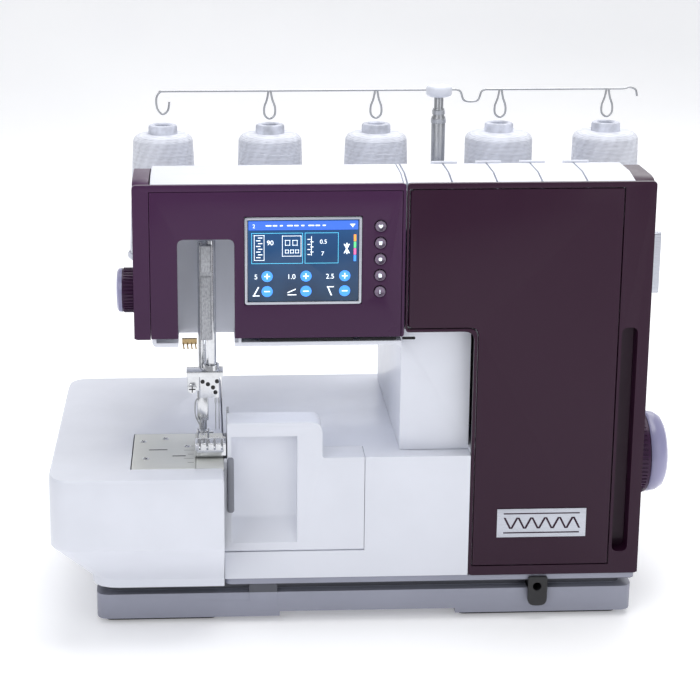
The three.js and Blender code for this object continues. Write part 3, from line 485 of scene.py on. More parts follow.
def closed_spin(bm, profile, centre, axis="Z", steps=64):
    """Adds a turned ring whose profile closes on itself."""
    rings = spun(bm, profile, centre, axis, steps)
    for k in range(steps):
        n = (k + 1) % steps
        bm.faces.new([rings[-1][k], rings[-1][n], rings[0][n], rings[0][k]])


def turned(name, maker, profile, finish, node, centre, axis="Z", steps=64, smooth=40):
    """A piece on a node, turned from a profile by spun or closed_spin."""
    bm = bmesh.new()
    maker(bm, profile, centre, axis, steps)
    return added(name, bm, finish, node, smooth=smooth)


def tube(bm, points, radius, sides=12, closed=False):
    """Adds a round wire through points."""
    count = len(points)
    frames = []
    up = Vector((0, 1, 0))
    for k, point in enumerate(points):
        before = points[(k - 1) % count] if closed or k else points[0]
        after = points[(k + 1) % count] if closed or k < count - 1 else points[-1]
        along = (Vector(after) - Vector(before)).normalized()
        side = along.cross(up).normalized()
        other = side.cross(along)
        frames.append([bm.verts.new(Vector(point) + radius * (math.cos(a) * side + math.sin(a) * other))
                       for a in (math.tau * i / sides for i in range(sides))])
    for k in range(count if closed else count - 1):
        first, second = frames[k], frames[(k + 1) % count]
        for i in range(sides):
            bm.faces.new([first[i], first[(i + 1) % sides], second[(i + 1) % sides], second[i]])
    if not closed:
        bm.faces.new(frames[0])
        bm.faces.new(frames[-1])


def rounded_outline(low, high, radius, steps=6):
    """(x, z) points round a rectangle with round corners."""
    points = []
    corners = ((high[0], high[1]), (low[0], high[1]), (low[0], low[1]), (high[0], low[1]))
    for index, (corner_x, corner_z) in enumerate(corners):
        x = corner_x - radius if corner_x == high[0] else corner_x + radius
        z = corner_z - radius if corner_z == high[1] else corner_z + radius
        for k in range(steps + 1):
            angle = math.pi / 2 * (index + k / steps)
            points.append((x + radius * math.cos(angle), z + radius * math.sin(angle)))
    return points


def slab(bm, points, y_front, y_back):
    """Adds a flat plate facing the front from (x, z) points."""
    front = [bm.verts.new((x, y_front, z)) for x, z in points]
    back = [bm.verts.new((x, y_back, z)) for x, z in points]
    bm.faces.new(front)
    bm.faces.new(back[::-1])
    for k in range(len(points)):
        n = (k + 1) % len(points)
        bm.faces.new([front[k], back[k], back[n], front[n]])


def bar(x, z, wide, tall):
    """(x, z) points of a rectangle from its lower left corner."""
    return [(x, z), (x + wide, z), (x + wide, z + tall), (x, z + tall)]


def slant(x, z, wide, end_x, end_z):
    """(x, z) points of a leaning bar between two level ends."""
    return [(x, z), (x + wide, z), (end_x + wide, end_z), (end_x, end_z)]


def disc(x, z, radius, steps=28):
    """(x, z) points round a circle."""
    angles = [math.tau * k / steps for k in range(steps)]
    return [(x + radius * math.cos(a), z + radius * math.sin(a)) for a in angles]


def edge_of(x, z, wide, tall, line=0.35):
    """Four bars that frame a rectangle."""
    return [bar(x, z, wide, line), bar(x, z + tall - line, wide, line), bar(x, z, line, tall),
            bar(x + wide - line, z, line, tall)]


# ---------------------------------------------------------------- geometry nodes
class Growth:
    """A geometry node tree with named inputs, grown into plain meshes."""

    def __init__(self, name, **inputs):
        self.tree = bpy.data.node_groups.new(name, "GeometryNodeTree")
        self.tree.interface.new_socket("Geometry", in_out="INPUT", socket_type="NodeSocketGeometry")
        self.tree.interface.new_socket("Geometry", in_out="OUTPUT", socket_type="NodeSocketGeometry")
        for label, kind in inputs.items():
            self.tree.interface.new_socket(label, in_out="INPUT", socket_type=f"NodeSocket{kind}")
        self.source = self.tree.nodes.new("NodeGroupInput")

    def given(self, label):
        return self.source.outputs[label]

    def node(self, kind, settings=None, values=None, out=0):
        made = self.tree.nodes.new(kind)
        for key, value in (settings or {}).items():
            setattr(made, key, value)
        for key, value in (values or {}).items():
            if isinstance(value, bpy.types.NodeSocket):
                self.tree.links.new(value, made.inputs[key])
            else:
                made.inputs[key].default_value = value
        return made.outputs[out]

    def end(self, geometry):
        """Realizes what was grown, sets its material and ends the tree."""
        real = self.node("GeometryNodeRealizeInstances", values={"Geometry": geometry})
        values = {"Geometry": real, "Material": self.given("Material")}
        painted = self.node("GeometryNodeSetMaterial", values=values)
        finish = self.tree.nodes.new("NodeGroupOutput")
        self.tree.links.new(painted, finish.inputs["Geometry"])
        return self

    def grow(self, points=(), **values):
        """The tree's result on a mesh of loose points, as a plain mesh."""
        seed = bpy.data.meshes.new("seed")
        seed.from_pydata([tuple(point) for point in points], [], [])
        carrier = bpy.data.objects.new("grown", seed)
        bpy.context.scene.collection.objects.link(carrier)
        modifier = carrier.modifiers.new("growth", "NODES")
        modifier.node_group = self.tree
        for item in self.tree.interface.items_tree:
            if item.in_out == "INPUT" and item.name in values:
                modifier[item.identifier] = values[item.name]
        carrier.update_tag()
        graph = bpy.context.evaluated_depsgraph_get()
        graph.update()
        mesh = bpy.data.meshes.new_from_object(carrier.evaluated_get(graph))
        bpy.data.objects.remove(carrier)
        return mesh


def placed_copies():
    """Copies of one piece at given points, turned and scaled alike."""
    growth = Growth("copies at points", Piece="Object", Turn="Vector", Size="Float", Material="Material")
    piece = growth.node("GeometryNodeObjectInfo", values={"Object": growth.given("Piece")}, out="Geometry")
    turn = growth.node("FunctionNodeEulerToRotation", values={"Euler": growth.given("Turn")})
    copies = growth.node("GeometryNodeInstanceOnPoints", values={
        "Points": growth.given("Geometry"), "Instance": piece, "Rotation": turn,
        "Scale": growth.given("Size")})
    return growth.end(copies)


def ring_of_ribs():
    """Ribs standing out of a circle about Z, then turned and moved into place."""
    growth = Growth("ribs round a rim", Count="Int", Radius="Float", Rib="Vector", Turn="Vector",
                    Place="Vector", Material="Material")
    circle = growth.node("GeometryNodeMeshCircle", {"fill_type": "NONE"},
                         {"Vertices": growth.given("Count"), "Radius": growth.given("Radius")})
    rib = growth.node("GeometryNodeMeshCube", values={"Size": growth.given("Rib")})
    outward = growth.node("GeometryNodeInputPosition")
    facing = growth.node("FunctionNodeAlignRotationToVector", {"axis": "X"}, {"Vector": outward})
    ribs = growth.node("GeometryNodeInstanceOnPoints", values={
        "Points": circle, "Instance": rib, "Rotation": facing})
    turned = growth.node("GeometryNodeTransform", values={
        "Geometry": ribs, "Rotation": growth.given("Turn"), "Translation": growth.given("Place")})
    return growth.end(turned)


def wound_strand():
    """One strand of thread climbing round a cone about Z."""
    growth = Growth("strand round a cone", Turns="Float", Bottom="Float", Top="Float", Height="Float",
                    Strand="Float", Place="Vector", Material="Material")
    helix = growth.node("GeometryNodeCurveSpiral", values={
        "Resolution": 40, "Rotations": growth.given("Turns"), "Start Radius": growth.given("Bottom"),
        "End Radius": growth.given("Top"), "Height": growth.given("Height")})
    ring = growth.node("GeometryNodeCurvePrimitiveCircle", values={
        "Resolution": 5, "Radius": growth.given("Strand")})
    strand = growth.node("GeometryNodeCurveToMesh", values={
        "Curve": helix, "Profile Curve": ring, "Fill Caps": True})
    moved = growth.node("GeometryNodeTransform", values={
        "Geometry": strand, "Translation": growth.given("Place")})
    return growth.end(moved)


GROWTHS = {}
FORWARD = (math.pi / 2, 0.0, 0.0)
REARWARD = (-math.pi / 2, 0.0, 0.0)


def copies(name, bm, points, finish, host, turn=(0.0, 0.0, 0.0), size=1.0):
    """Grows copies of a small bmesh shape at points on a node."""
    bmesh.ops.recalc_face_normals(bm, faces=bm.faces)
    pattern = bpy.data.objects.new("pattern", mesh_of(bm, "pattern"))
    bpy.context.scene.collection.objects.link(pattern)
    mesh = GROWTHS["copies"].grow(points, Piece=pattern, Turn=turn, Size=size, Material=FINISHES[finish])
    bpy.data.objects.remove(pattern)
    return piece_from(name, mesh, finish, BODIES[host])


def screw_head(radius, height):
    """A domed screw head about Z, its seat at Z = 0."""
    bm = bmesh.new()
    spun(bm, [(0, -height), (radius, -height), (radius, height * 0.35), (radius * 0.86, height * 0.85),
              (radius * 0.6, height), (0, height)], (0, 0, 0), steps=24)
    return bm


def screw_slot(radius, height, cross=True, width=0.22):
    """Dark bars that fill the slot or cross of a screw head, about Z."""
    bm = bmesh.new()
    reach, half = radius * 0.72, radius * width / 2
    low, high = height * 0.4, height + 0.04 * MM
    block(bm, (-reach, -half, low), (reach, half, high))
    if cross:
        block(bm, (-half, -reach, low), (half, reach, high))
    return bm


def ends(node):
    """A node's lowest and highest corners."""
    low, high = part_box(node)
    return Vector(low), Vector(high)


def middle(node):
    low, high = ends(node)
    return (low + high) / 2


def smooth_path(points, per=8):
    """Points along a Catmull-Rom curve through the given ones."""
    line = [Vector(point) for point in points]
    ghost = [2 * line[0] - line[1], *line, 2 * line[-1] - line[-2]]
    path = []
    for a, b, c, d in zip(ghost, ghost[1:], ghost[2:], ghost[3:]):
        slope, curve, twist = c - a, 2 * a - 5 * b + 4 * c - d, 3 * b - a - 3 * c + d
        for k in range(per):
            t = k / per
            path.append(0.5 * (2 * b + slope * t + curve * t ** 2 + twist * t ** 3))
    return [*path, line[-1]]


# ---------------------------------------------------------------- casings
def build_casings(sizes):
    """White casings and covers; each width is a share of the moulded edge's rounding."""
    widths = {"body_casing": 1.0, "rear_cover": 0.8, "top_cover": 1.3, "thread_guide_block": 0.5,
              "bed_casing": 1.2, "looper_cover": 1.5, "bed_extension": 2.2, "thread_stand": 0.9,
              "threading_panel": 0.6}
    for node, width in widths.items():
        finished_node(node, sizes.casing_edge * width, 4 if width > 1 else 3)
    build_lip_slots()
    build_cover_tab()
    build_rear_screws()


def build_lip_slots():
    """Dark slots in the lip below the head, above the lamp."""
    panel_low, _ = ends("head_panel")
    bm = bmesh.new()
    front = ends("body_casing")[0].y - 0.05 * MM
    z = panel_low.z - 3.6 * MM
    x = panel_low.x + 80 * MM
    for length in (70.0, 28.0, 10.0):
        slab(bm, rounded_outline((x, z), (x + length * MM, z + 1.9 * MM), 0.9 * MM, 4), front, front + 1 * MM)
        x += (length + 4) * MM
    added("lip_slots", bm, "shadow", "body_casing")


def build_cover_tab():
    """Grey finger tab on the left edge of the looper cover."""
    low, high = ends("looper_cover")
    corners = ((low.x + 2.2 * MM, high.z - 71 * MM), (low.x + 7.4 * MM, high.z - 27 * MM))
    bm = bmesh.new()
    slab(bm, rounded_outline(*corners, 2.2 * MM), low.y - 1.6 * MM, low.y + 1 * MM)
    added("cover_tab", bm, "clear_guard", "looper_cover", 0.6 * MM, 3)


def build_rear_screws():
    """Four screws of the rear cover."""
    low, high = ends("rear_cover")
    inset = 9 * MM
    left, right, bottom, top = low.x + inset, high.x - inset, low.z + inset, high.z - inset
    spots = ((left, top), (right, top), (right, bottom), (right, middle("rear_cover").z))
    points = [(x, high.y, z) for x, z in spots]
    radius, height = 3.2 * MM, 1.2 * MM
    copies("rear_screws", screw_head(radius, height), points, "steel", "rear_cover", REARWARD)
    copies("rear_screw_slots", screw_slot(radius, height), points, "shadow", "rear_cover", REARWARD)


# ---------------------------------------------------------------- coloured fronts
def build_fronts(sizes):
    """Plum head and door with their frames, and the badge plate."""
    edge = sizes.casing_edge
    finished_node("head_frame", edge * 1.3, 4)
    finished_node("head_panel", edge * 0.5)
    finished_node("front_frame", edge * 1.2, 4)
    finished_node("front_door", edge * 0.5)
    finished_node("badge_plate", 0.2 * MM)
    build_badge_motif()


def build_badge_motif():
    """A row of zigzag stitches between two seam lines, in place of a name."""
    low, high = ends("badge_plate")
    front, back = low.y - 0.25 * MM, low.y + 0.05 * MM
    margin, stitches, stroke, rise = 5 * MM, 11, 1.6 * MM, 4.5 * MM
    wide = high.x - low.x - 2 * margin
    pitch = wide / stitches
    middle_z = (low.z + high.z) / 2
    bm = bmesh.new()
    for k in range(stitches):
        left = low.x + margin + k * pitch
        right = left + pitch - stroke / 2
        up = rise if k % 2 else -rise
        slab(bm, slant(left, middle_z - up, stroke, right, middle_z + up), front, back)
    for z in (low.z + 3.2 * MM, high.z - 4.2 * MM):
        slab(bm, bar(low.x + margin, z, wide, 0.9 * MM), low.y - 0.2 * MM, back)
    added("badge_stitches", bm, "plum_door", "badge_plate")


# ---------------------------------------------------------------- display
def build_display():
    """The glass and what it shows, in millimetres from the display's lower left corner."""
    finished_node("screen_bezel", 0.7 * MM)
    low, high = ends("touch_screen")
    bm = bmesh.new()
    slab(bm, rounded_outline((low.x, low.z), (high.x, high.z), 1.6 * MM), low.y, high.y)
    glass = added("display_glass", bm, "screen_glass", "touch_screen", 0.2 * MM)
    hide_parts("touch_screen")
    width = (high.x - low.x) / MM
    height = (high.z - low.z) / MM
    columns = (14.0, 42.5, 71.0)
    rows = (19.0, 7.6)
    display_mark("display_header", "screen_blue", [bar(0.6, height - 7.2, width - 1.2, 6.6)], 0.04)
    display_mark("display_keys", "screen_button", [disc(x, z, 4.1) for x in columns for z in rows], 0.04)
    display_mark("display_signs", "screen_white", display_signs(columns, rows, height))
    display_mark("display_frames", "screen_cyan",
                 edge_of(2.6, 28.6, 37.5, 23, 0.3) + edge_of(41.6, 28.6, 24.6, 23, 0.3))
    strips = (("top", "orange", 45, 5), ("upper", "green", 40, 4.6), ("lower", "pink", 35, 4.6),
              ("foot", "button", 30, 4.6))
    for name, finish, z, tall in strips:
        display_mark(f"display_strip_{name}", f"screen_{finish}", [bar(77.4, z, 1.8, tall)])
    numbers = (("5", 4.5, 17.0, 5.2), ("1.0", 28.6, 17.0, 5.2), ("2.5", 57.0, 17.0, 5.2),
               ("90", 13.8, 42.6, 5.0), ("0.5", 52.5, 43.4, 4.4), ("7", 53.5, 34.5, 4.4),
               ("2", 3.4, height - 5.6, 4.0))
    for index, (digits, x, z, size) in enumerate(numbers):
        corner = low + Vector((x * MM, -0.1 * MM, z * MM))
        display_number(f"display_number_{index + 1}", digits, corner, size * MM)


def display_mark(name, finish, shapes, proud=0.09):
    """Thin lit shapes, standing proud of the glass by a number of millimetres."""
    low, _ = ends("touch_screen")
    bm = bmesh.new()
    for shape in shapes:
        points = [(low.x + x * MM, low.z + z * MM) for x, z in shape]
        slab(bm, points, low.y - proud * MM, low.y + 0.1 * MM)
    added(name, bm, finish, "touch_screen")


def display_signs(columns, rows, height):
    """Key signs, the header's marks and three small diagrams."""
    signs = [bar(x - 2.1, z - 0.4, 4.2, 0.8) for x in columns for z in rows]
    signs += [bar(x - 0.4, rows[0] - 2.1, 0.8, 4.2) for x in columns]
    signs += [[(74.5, height - 3.0), (78.5, height - 3.0), (76.5, height - 5.6)]]
    signs += [bar(13 + 5.2 * k, height - 4.4, 4.2 - (k % 3), 0.9) for k in range(9)]
    signs += edge_of(4.5, 31, 7.5, 19)
    signs += [bar(6 + (k % 2) * 1.4, 33 + 2.1 * k, 3.2, 0.6) for k in range(8)]
    signs += edge_of(25, 34, 14, 15.5)
    for x in (27.2, 32.6):
        signs += edge_of(x, 42.2, 3.6, 4)
    for x in (27.2, 30.9, 34.6):
        signs += edge_of(x, 36.4, 2.6, 2.6)
    signs += [bar(43.5 + 2.2 * (k % 2), 35 + 1.9 * k, 2.2, 0.55) for k in range(7)]
    signs += [bar(46.2, 34.5, 0.45, 14.5)]
    signs += [slant(70, 36, 1, 73.6, 43), slant(73.6, 36, 1, 70, 43), bar(72.0, 35.4, 0.8, 8.4)]
    signs += [slant(3.5, 4, 1, 7.2, 11), bar(3.5, 4, 5.0, 0.7)]
    signs += [[(29, 6.2), (35, 8.8), (35, 9.6), (29, 7)], bar(29, 4.6, 6.5, 0.7)]
    signs += [slant(58, 11, 1, 60.8, 4.2), bar(58, 10.4, 5, 0.7)]
    return signs


def display_number(name, digits, corner, size):
    """A setting's value, as thin raised digits."""
    curve = bpy.data.curves.new(name, "FONT")
    curve.body = digits
    curve.size = size
    curve.extrude = 0.05 * MM
    carrier = bpy.data.objects.new("digits", curve)
    bpy.context.scene.collection.objects.link(carrier)
    mesh = bpy.data.meshes.new_from_object(carrier.evaluated_get(bpy.context.evaluated_depsgraph_get()))
    bpy.data.objects.remove(carrier)
    mesh.transform(Matrix.Translation(corner) @ Matrix.Rotation(math.pi / 2, 4, "X"))
    piece_from(name, mesh, "screen_white", BODIES["touch_screen"])


# ---------------------------------------------------------------- round buttons
def build_buttons():
    """Round caps with a raised rim, each with its own symbol."""
    radius = 4.2 * MM
    rim, dish = radius + 1.3 * MM, radius - 1.1 * MM
    for index in range(1, 6):
        node = f"button_{index}"
        low, high = ends(node)
        x, _, z = middle(node)
        back = high.y - low.y
        profile = [(0, back), (rim, back), (rim, back - 0.8 * MM), (dish, back - 0.9 * MM), (dish, 4.0 * MM),
                   (radius, 3.9 * MM), (radius, 0.5 * MM), (radius - 0.25 * MM, 0.12 * MM),
                   (radius - 0.7 * MM, 0.0), (radius - 1.0 * MM, 0.2 * MM), (0, 0.45 * MM)]
        cap = turned(f"{node}_cap", spun, profile, "button_chrome", node, (x, low.y, z), "Y", 40, 50)
        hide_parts(node)
        build_button_mark(node, index, x, low.y + 0.18 * MM, z)


def build_button_mark(node, index, x, y, z):
    """A small inlaid symbol: heart, bin, cog, sheet and three dots."""
    unit = 0.32 * MM
    around = disc(0, 0, 1, 16)
    cog = [4.6 if k % 2 else 3.2 for k in range(16)]
    shapes = {
        1: [[(0, -5), (5, 0.5), (4.6, 3), (2.6, 4), (0, 2), (-2.6, 4), (-4.6, 3), (-5, 0.5)]],
        2: [[(-3, -4), (3, -4), (3.8, 2), (-3.8, 2)], bar(-4.4, 2.8, 8.8, 1.0)],
        3: [[(reach * a, reach * b) for reach, (a, b) in zip(cog, around)]],
        4: [[(-3.4, -4.2), (3.4, -4.2), (3.4, 2), (1, 4.2), (-3.4, 4.2)]],
        5: [disc(0, rise, 1.1, 16) for rise in (-3.4, 0, 3.4)],
    }
    bm = bmesh.new()
    for shape in shapes[index]:
        slab(bm, [(x + a * unit, z + b * unit) for a, b in shape], y, y + 0.5 * MM)
    added(f"{node}_mark", bm, "screen_white", node)


# ---------------------------------------------------------------- needle, presser and knife
def build_sewing_parts(sizes):
    """Metal parts round the needles, the feed dog and the lamp."""
    edge = sizes.metal_edge
    finished_node("needle_rail", edge, finish="rail_face")
    for node in ("needle_bar", "needle_clamp", "presser_bar", "presser_foot", "upper_knife", "lower_looper",
                 "upper_looper", "feed_dog"):
        finished_node(node, edge * 0.9, 2)
    for node in ("needle_left", "needle_right"):
        finished_node(node, edge * 0.35, 2)
    finished_node("sewing_lamp", 0.8 * MM)
    build_set_screws()
    build_thread_comb()
    build_foot_details()


def build_set_screws():
    """Five black set screws in the needle clamp and the slotted screw on its left."""
    low, _ = ends("needle_clamp")
    bar_x, bar_y, _ = middle("needle_bar")
    spots = [(-6.6, 12.6), (-2.6, 10.6), (1.2, 8.0), (4.2, 12.8), (3.0, 4.2)]
    points = [(bar_x + x * MM, bar_y - 7 * MM, low.z + z * MM) for x, z in spots]
    radius, height = 1.6 * MM, 0.5 * MM
    copies("clamp_screws", screw_head(radius, height), points, "black_plastic", "needle_clamp", FORWARD)
    sockets = screw_slot(radius, height, False)
    copies("clamp_screw_sockets", sockets, points, "shadow", "needle_clamp", FORWARD)
    thumb = [(bar_x - 14.4 * MM, low.y, low.z + 7.7 * MM)]
    copies("thumb_screw_slot", screw_slot(3.4 * MM, 0.3 * MM), thumb, "shadow", "needle_clamp", FORWARD)


def build_thread_comb():
    """Brass comb below the head that keeps the needle threads apart."""
    bar_x, bar_y, _ = middle("needle_bar")
    left, front = bar_x - 21.5 * MM, bar_y - 4 * MM
    z = ends("head_panel")[0].z - 7.2 * MM
    bm = bmesh.new()
    block(bm, (left, front, z - 1.5 * MM), (left + 11 * MM, front + 3 * MM, z + 2.5 * MM))
    for k in range(4):
        x = left + (1 + 3 * k) * MM
        tooth = [(x, front + 1 * MM, z), (x, front - 1.5 * MM, z - 2.5 * MM),
                 (x + 0.4 * MM, front - 1 * MM, z - 5 * MM)]
        tube(bm, smooth_path(tooth, 5), 0.55 * MM, 8)
    added("thread_comb", bm, "brass", "needle_rail", smooth=50)


def build_foot_details():
    """Wire guide and screws of the presser foot's ankle."""
    low, _ = ends("presser_bar")
    start = low + Vector((1.2 * MM, -0.2 * MM, 22 * MM))
    bends = ((2, 2, 8), (-1.5, -0.5, 6), (-2, -2, -4), (1, -2.5, -12))
    bm = bmesh.new()
    tube(bm, smooth_path([start + Vector(bend) * MM for bend in bends], 6), 0.5 * MM, 8)
    added("ankle_wire", bm, "steel", "presser_bar", smooth=50)
    points = [(low.x + 4.6 * MM, low.y + 1.4 * MM, start.z + rise * MM) for rise in (4, 12)]
    radius, height = 1.7 * MM, 0.9 * MM
    copies("ankle_screws", screw_head(radius, height), points, "steel", "presser_bar", FORWARD)
    copies("ankle_screw_slots", screw_slot(radius, height), points, "shadow", "presser_bar", FORWARD)


# ---------------------------------------------------------------- plates and free arm
def build_plates(sizes):
    """Needle plate with its screws and lines, stitch plate and free arm."""
    edge = sizes.metal_edge
    finished_node("needle_plate", edge, 2)
    finished_node("stitch_plate", edge * 0.8, 2)
    finished_node("free_arm", 0.6 * MM)
    low, high = ends("needle_plate")
    top = high.z
    points = [(low.x + x * MM, low.y + y * MM, top) for x, y in ((7, 60), (24, 66), (41, 48), (10, 22))]
    radius, height, turn = 2.7 * MM, 0.35 * MM, (0, 0, 0.5)
    copies("plate_screws", screw_head(radius, height), points, "chrome", "needle_plate", turn)
    copies("plate_screw_slots", screw_slot(radius, height), points, "shadow", "needle_plate", turn)
    bm = bmesh.new()
    bottom, face = top - 0.1 * MM, top + 0.03 * MM
    for k in range(5):
        y = low.y + (12 + 9 * k) * MM
        block(bm, (high.x - (6 + 3 * (k % 2)) * MM, y, bottom), (high.x - 1.5 * MM, y + 0.4 * MM, face))
    for x, y, long in ((12, 40, 14), (30, 26, 10)):
        left, front = low.x + x * MM, low.y + y * MM
        block(bm, (left, front, bottom), (left + long * MM, front + 1.6 * MM, face))
    added("plate_lines", bm, "shadow", "needle_plate")


# ---------------------------------------------------------------- drive, wheels and levers
def build_drive():
    widths = {"main_shaft": 0.5, "motor_pulley": 0.4, "drive_motor": 1.2, "drive_belt": 0.3}
    for node, width in widths.items():
        finished_node(node, width * MM, 2)


def build_handwheel(sizes):
    """Dished wheel: plum body, ribbed rim, lilac ring and a plum centre round the shaft."""
    low, high = ends("handwheel")
    radius = (high.z - low.z) / 2
    wide = high.x - low.x
    bore, dish = 5.35 * MM, radius - 12 * MM
    centre = (low.x, *middle("handwheel")[1:])
    body = [(bore, 0.6 * MM), (radius - 3.5 * MM, 0.2 * MM), (radius - 1.6 * MM, 1.0 * MM),
            (radius - 1.0 * MM, 2.4 * MM), (radius - 1.0 * MM, wide * 0.52), (radius - 2.6 * MM, wide * 0.54),
            (dish, wide * 0.54), (bore, wide * 0.54)]
    wheel = turned("handwheel_body", closed_spin, body, "plum_gloss", "handwheel", centre, "X", 96)
    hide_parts("handwheel")
    ring = [(bore, wide * 0.55), (radius - 2.4 * MM, wide * 0.55), (radius - 1.6 * MM, wide * 0.6),
            (radius - 2.6 * MM, wide * 0.78), (radius - 5.5 * MM, wide * 0.92),
            (radius - 9.5 * MM, wide * 0.985), (dish, wide * 0.97), (bore, wide * 0.9)]
    turned("handwheel_ring", closed_spin, ring, "lilac_ring", "handwheel", centre, "X", 96)
    cap = [(bore, wide * 0.91), (radius - 12.6 * MM, wide * 0.975), (radius - 14 * MM, wide * 0.995),
           (bore + 3 * MM, wide * 1.0), (bore, wide * 0.99)]
    turned("handwheel_cap", closed_spin, cap, "plum_gloss", "handwheel", centre, "X", 72)
    rib = (0.9 * MM, 1.3 * MM, wide * 0.36)
    build_ribs("handwheel", sizes.grip_count, radius - 0.75 * MM, rib, centre, wide * 0.28)


def build_ribs(node, count, reach, rib, centre, along):
    """Grip ribs round a wheel whose axle lies along X, some way along it."""
    ribs = GROWTHS["ribs"].grow(
        Count=count, Radius=reach, Rib=rib, Turn=(0.0, math.pi / 2, 0.0),
        Place=(centre[0] + along, *centre[1:]), Material=FINISHES["plum_gloss"])
    piece_from(f"{node}_ribs", ribs, "plum_gloss", BODIES[node])


def build_side_dial(sizes):
    """Small dial on the head's left: plum skirt, ribs and a lilac end ring."""
    low, high = ends("side_dial")
    radius = (high.z - low.z) / 2
    wide = high.x - low.x
    skirt = radius - 0.9 * MM
    centre = (low.x, *middle("side_dial")[1:])
    body = [(0, wide * 0.3), (radius * 0.86, wide * 0.3), (skirt, wide * 0.3), (skirt, wide * 0.94),
            (radius - 1.4 * MM, wide), (0, wide)]
    dial = turned("side_dial_body", spun, body, "plum_gloss", "side_dial", centre, "X", 72)
    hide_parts("side_dial")
    ring = [(0, 0.1 * MM), (radius * 0.6, 0), (radius - 2.8 * MM, 0.3 * MM), (radius - 1.0 * MM, 1.6 * MM),
            (radius - 0.6 * MM, wide * 0.29), (0, wide * 0.29)]
    turned("side_dial_ring", spun, ring, "lilac_ring", "side_dial", centre, "X", 72)
    rib = (0.9 * MM, 1.1 * MM, wide * 0.5)
    build_ribs("side_dial", sizes.grip_count * 2 // 3, radius - 0.7 * MM, rib, centre, wide * 0.62)


def build_levers():
    widths = {"side_lever": 1.4, "presser_lift_lever": 1.0, "knee_lift_socket": 0.8, "power_inlet": 0.5,
              "power_switch": 0.6}
    for node, width in widths.items():
        finished_node(node, width * MM, 4 if width > 1 else 3)


# ---------------------------------------------------------------- thread cones
def build_cones(sizes):
    for index in range(1, 6):
        build_cone(f"thread_cone_{index}", sizes)


def build_cone(node, sizes):
    """Thread wound on a core, with a loose strand climbing round it."""
    low, high = ends(node)
    x, y, _ = middle(node)
    reach = (high.x - low.x) / 2 - 2 * MM
    tall = high.z - low.z
    top_reach = CONE_TOPS[node]
    wound_top = tall - 7.5 * MM
    profile = cone_profile(reach, top_reach, wound_top)
    bm = wound_body(profile, x, y, low.z, sizes.winding_relief)
    thread = added(f"{node}_thread", bm, "white_thread", node, smooth=60)
    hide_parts(node)
    core = [(7 * MM, 0), (reach + 1.2 * MM, 0), (reach + 2 * MM, 0.8 * MM), (reach + 2 * MM, 3.4 * MM),
            (reach + 1 * MM, 4.6 * MM), (14 * MM, 4.8 * MM), (12.3 * MM, tall - 2 * MM),
            (11.6 * MM, tall - 0.3 * MM), (10.6 * MM, tall), (8 * MM, tall), (7 * MM, tall - 1 * MM)]
    turned(f"{node}_core", closed_spin, core, "core", node, (x, y, low.z))
    strand = GROWTHS["strand"].grow(
        Turns=sizes.winding_turns, Bottom=reach + 0.1 * MM, Top=top_reach + 0.1 * MM,
        Height=wound_top - CONE_SHOULDER - CONE_FOOT, Strand=0.22 * MM, Place=(x, y, low.z + CONE_FOOT),
        Material=FINISHES["white_thread"])
    piece_from(f"{node}_strand", strand, "white_thread", BODIES[node], 60)


def cone_profile(reach, top_reach, wound_top, rows=132, flank=0.8):
    """(radius, height) up the thread: a slightly bowed flank, then a shoulder that rounds in to the core."""
    core = 13.2 * MM
    shoulder = wound_top - CONE_SHOULDER
    profile = []
    for t in (k / rows for k in range(rows + 1)):
        if t < flank:
            up = t / flank
            radius = reach + (top_reach - reach) * up ** 1.15
            profile.append((radius, CONE_FOOT + (shoulder - CONE_FOOT) * up))
        else:
            turn = (t - flank) / (1 - flank) * math.pi / 2
            radius = core + (top_reach - core) * max(0.0, math.cos(turn)) ** 0.6
            profile.append((radius, shoulder + CONE_SHOULDER * math.sin(turn)))
    return profile


def wound_body(profile, x, y, foot, depth, columns=144):
    """The thread as a closed solid with crossed ridges, on a UV map of turns and height."""
    bm = bmesh.new()
    uv = bm.loops.layers.uv.new("winding")
    angles = [math.tau * c / columns for c in range(columns)]
    rings = []
    for radius, height in profile:
        ring = []
        for angle in angles:
            relief = math.sin(9 * angle + height * 1900) * math.sin(-9 * angle + height * 1900)
            r = radius + depth * relief
            ring.append(bm.verts.new((x + r * math.cos(angle), y + r * math.sin(angle), foot + height)))
        rings.append(ring)
    for (_, bottom), (_, top), lower, upper in zip(profile, profile[1:], rings, rings[1:]):
        for c in range(columns):
            n = (c + 1) % columns
            face = bm.faces.new([lower[c], lower[n], upper[n], upper[c]])
            corners = ((c, bottom), (c + 1, bottom), (c + 1, top), (c, top))
            for loop, (turns, height) in zip(face.loops, corners):
                loop[uv].uv = (turns / columns, height)
    for ring in (rings[0][::-1], rings[-1]):
        inner = [bm.verts.new((x + (v.co.x - x) * 0.55, y + (v.co.y - y) * 0.55, v.co.z)) for v in ring]
        for c in range(columns):
            n = (c + 1) % columns
            bm.faces.new([ring[c], ring[n], inner[n], inner[c]])
        bm.faces.new(inner)
    return bm


CONE_FOOT = 5 * MM
CONE_SHOULDER = 7 * MM
CONE_TOPS = {f"thread_cone_{k + 1}": reach * MM for k, reach in enumerate((25.5, 27.0, 26.5, 29.0, 28.0))}


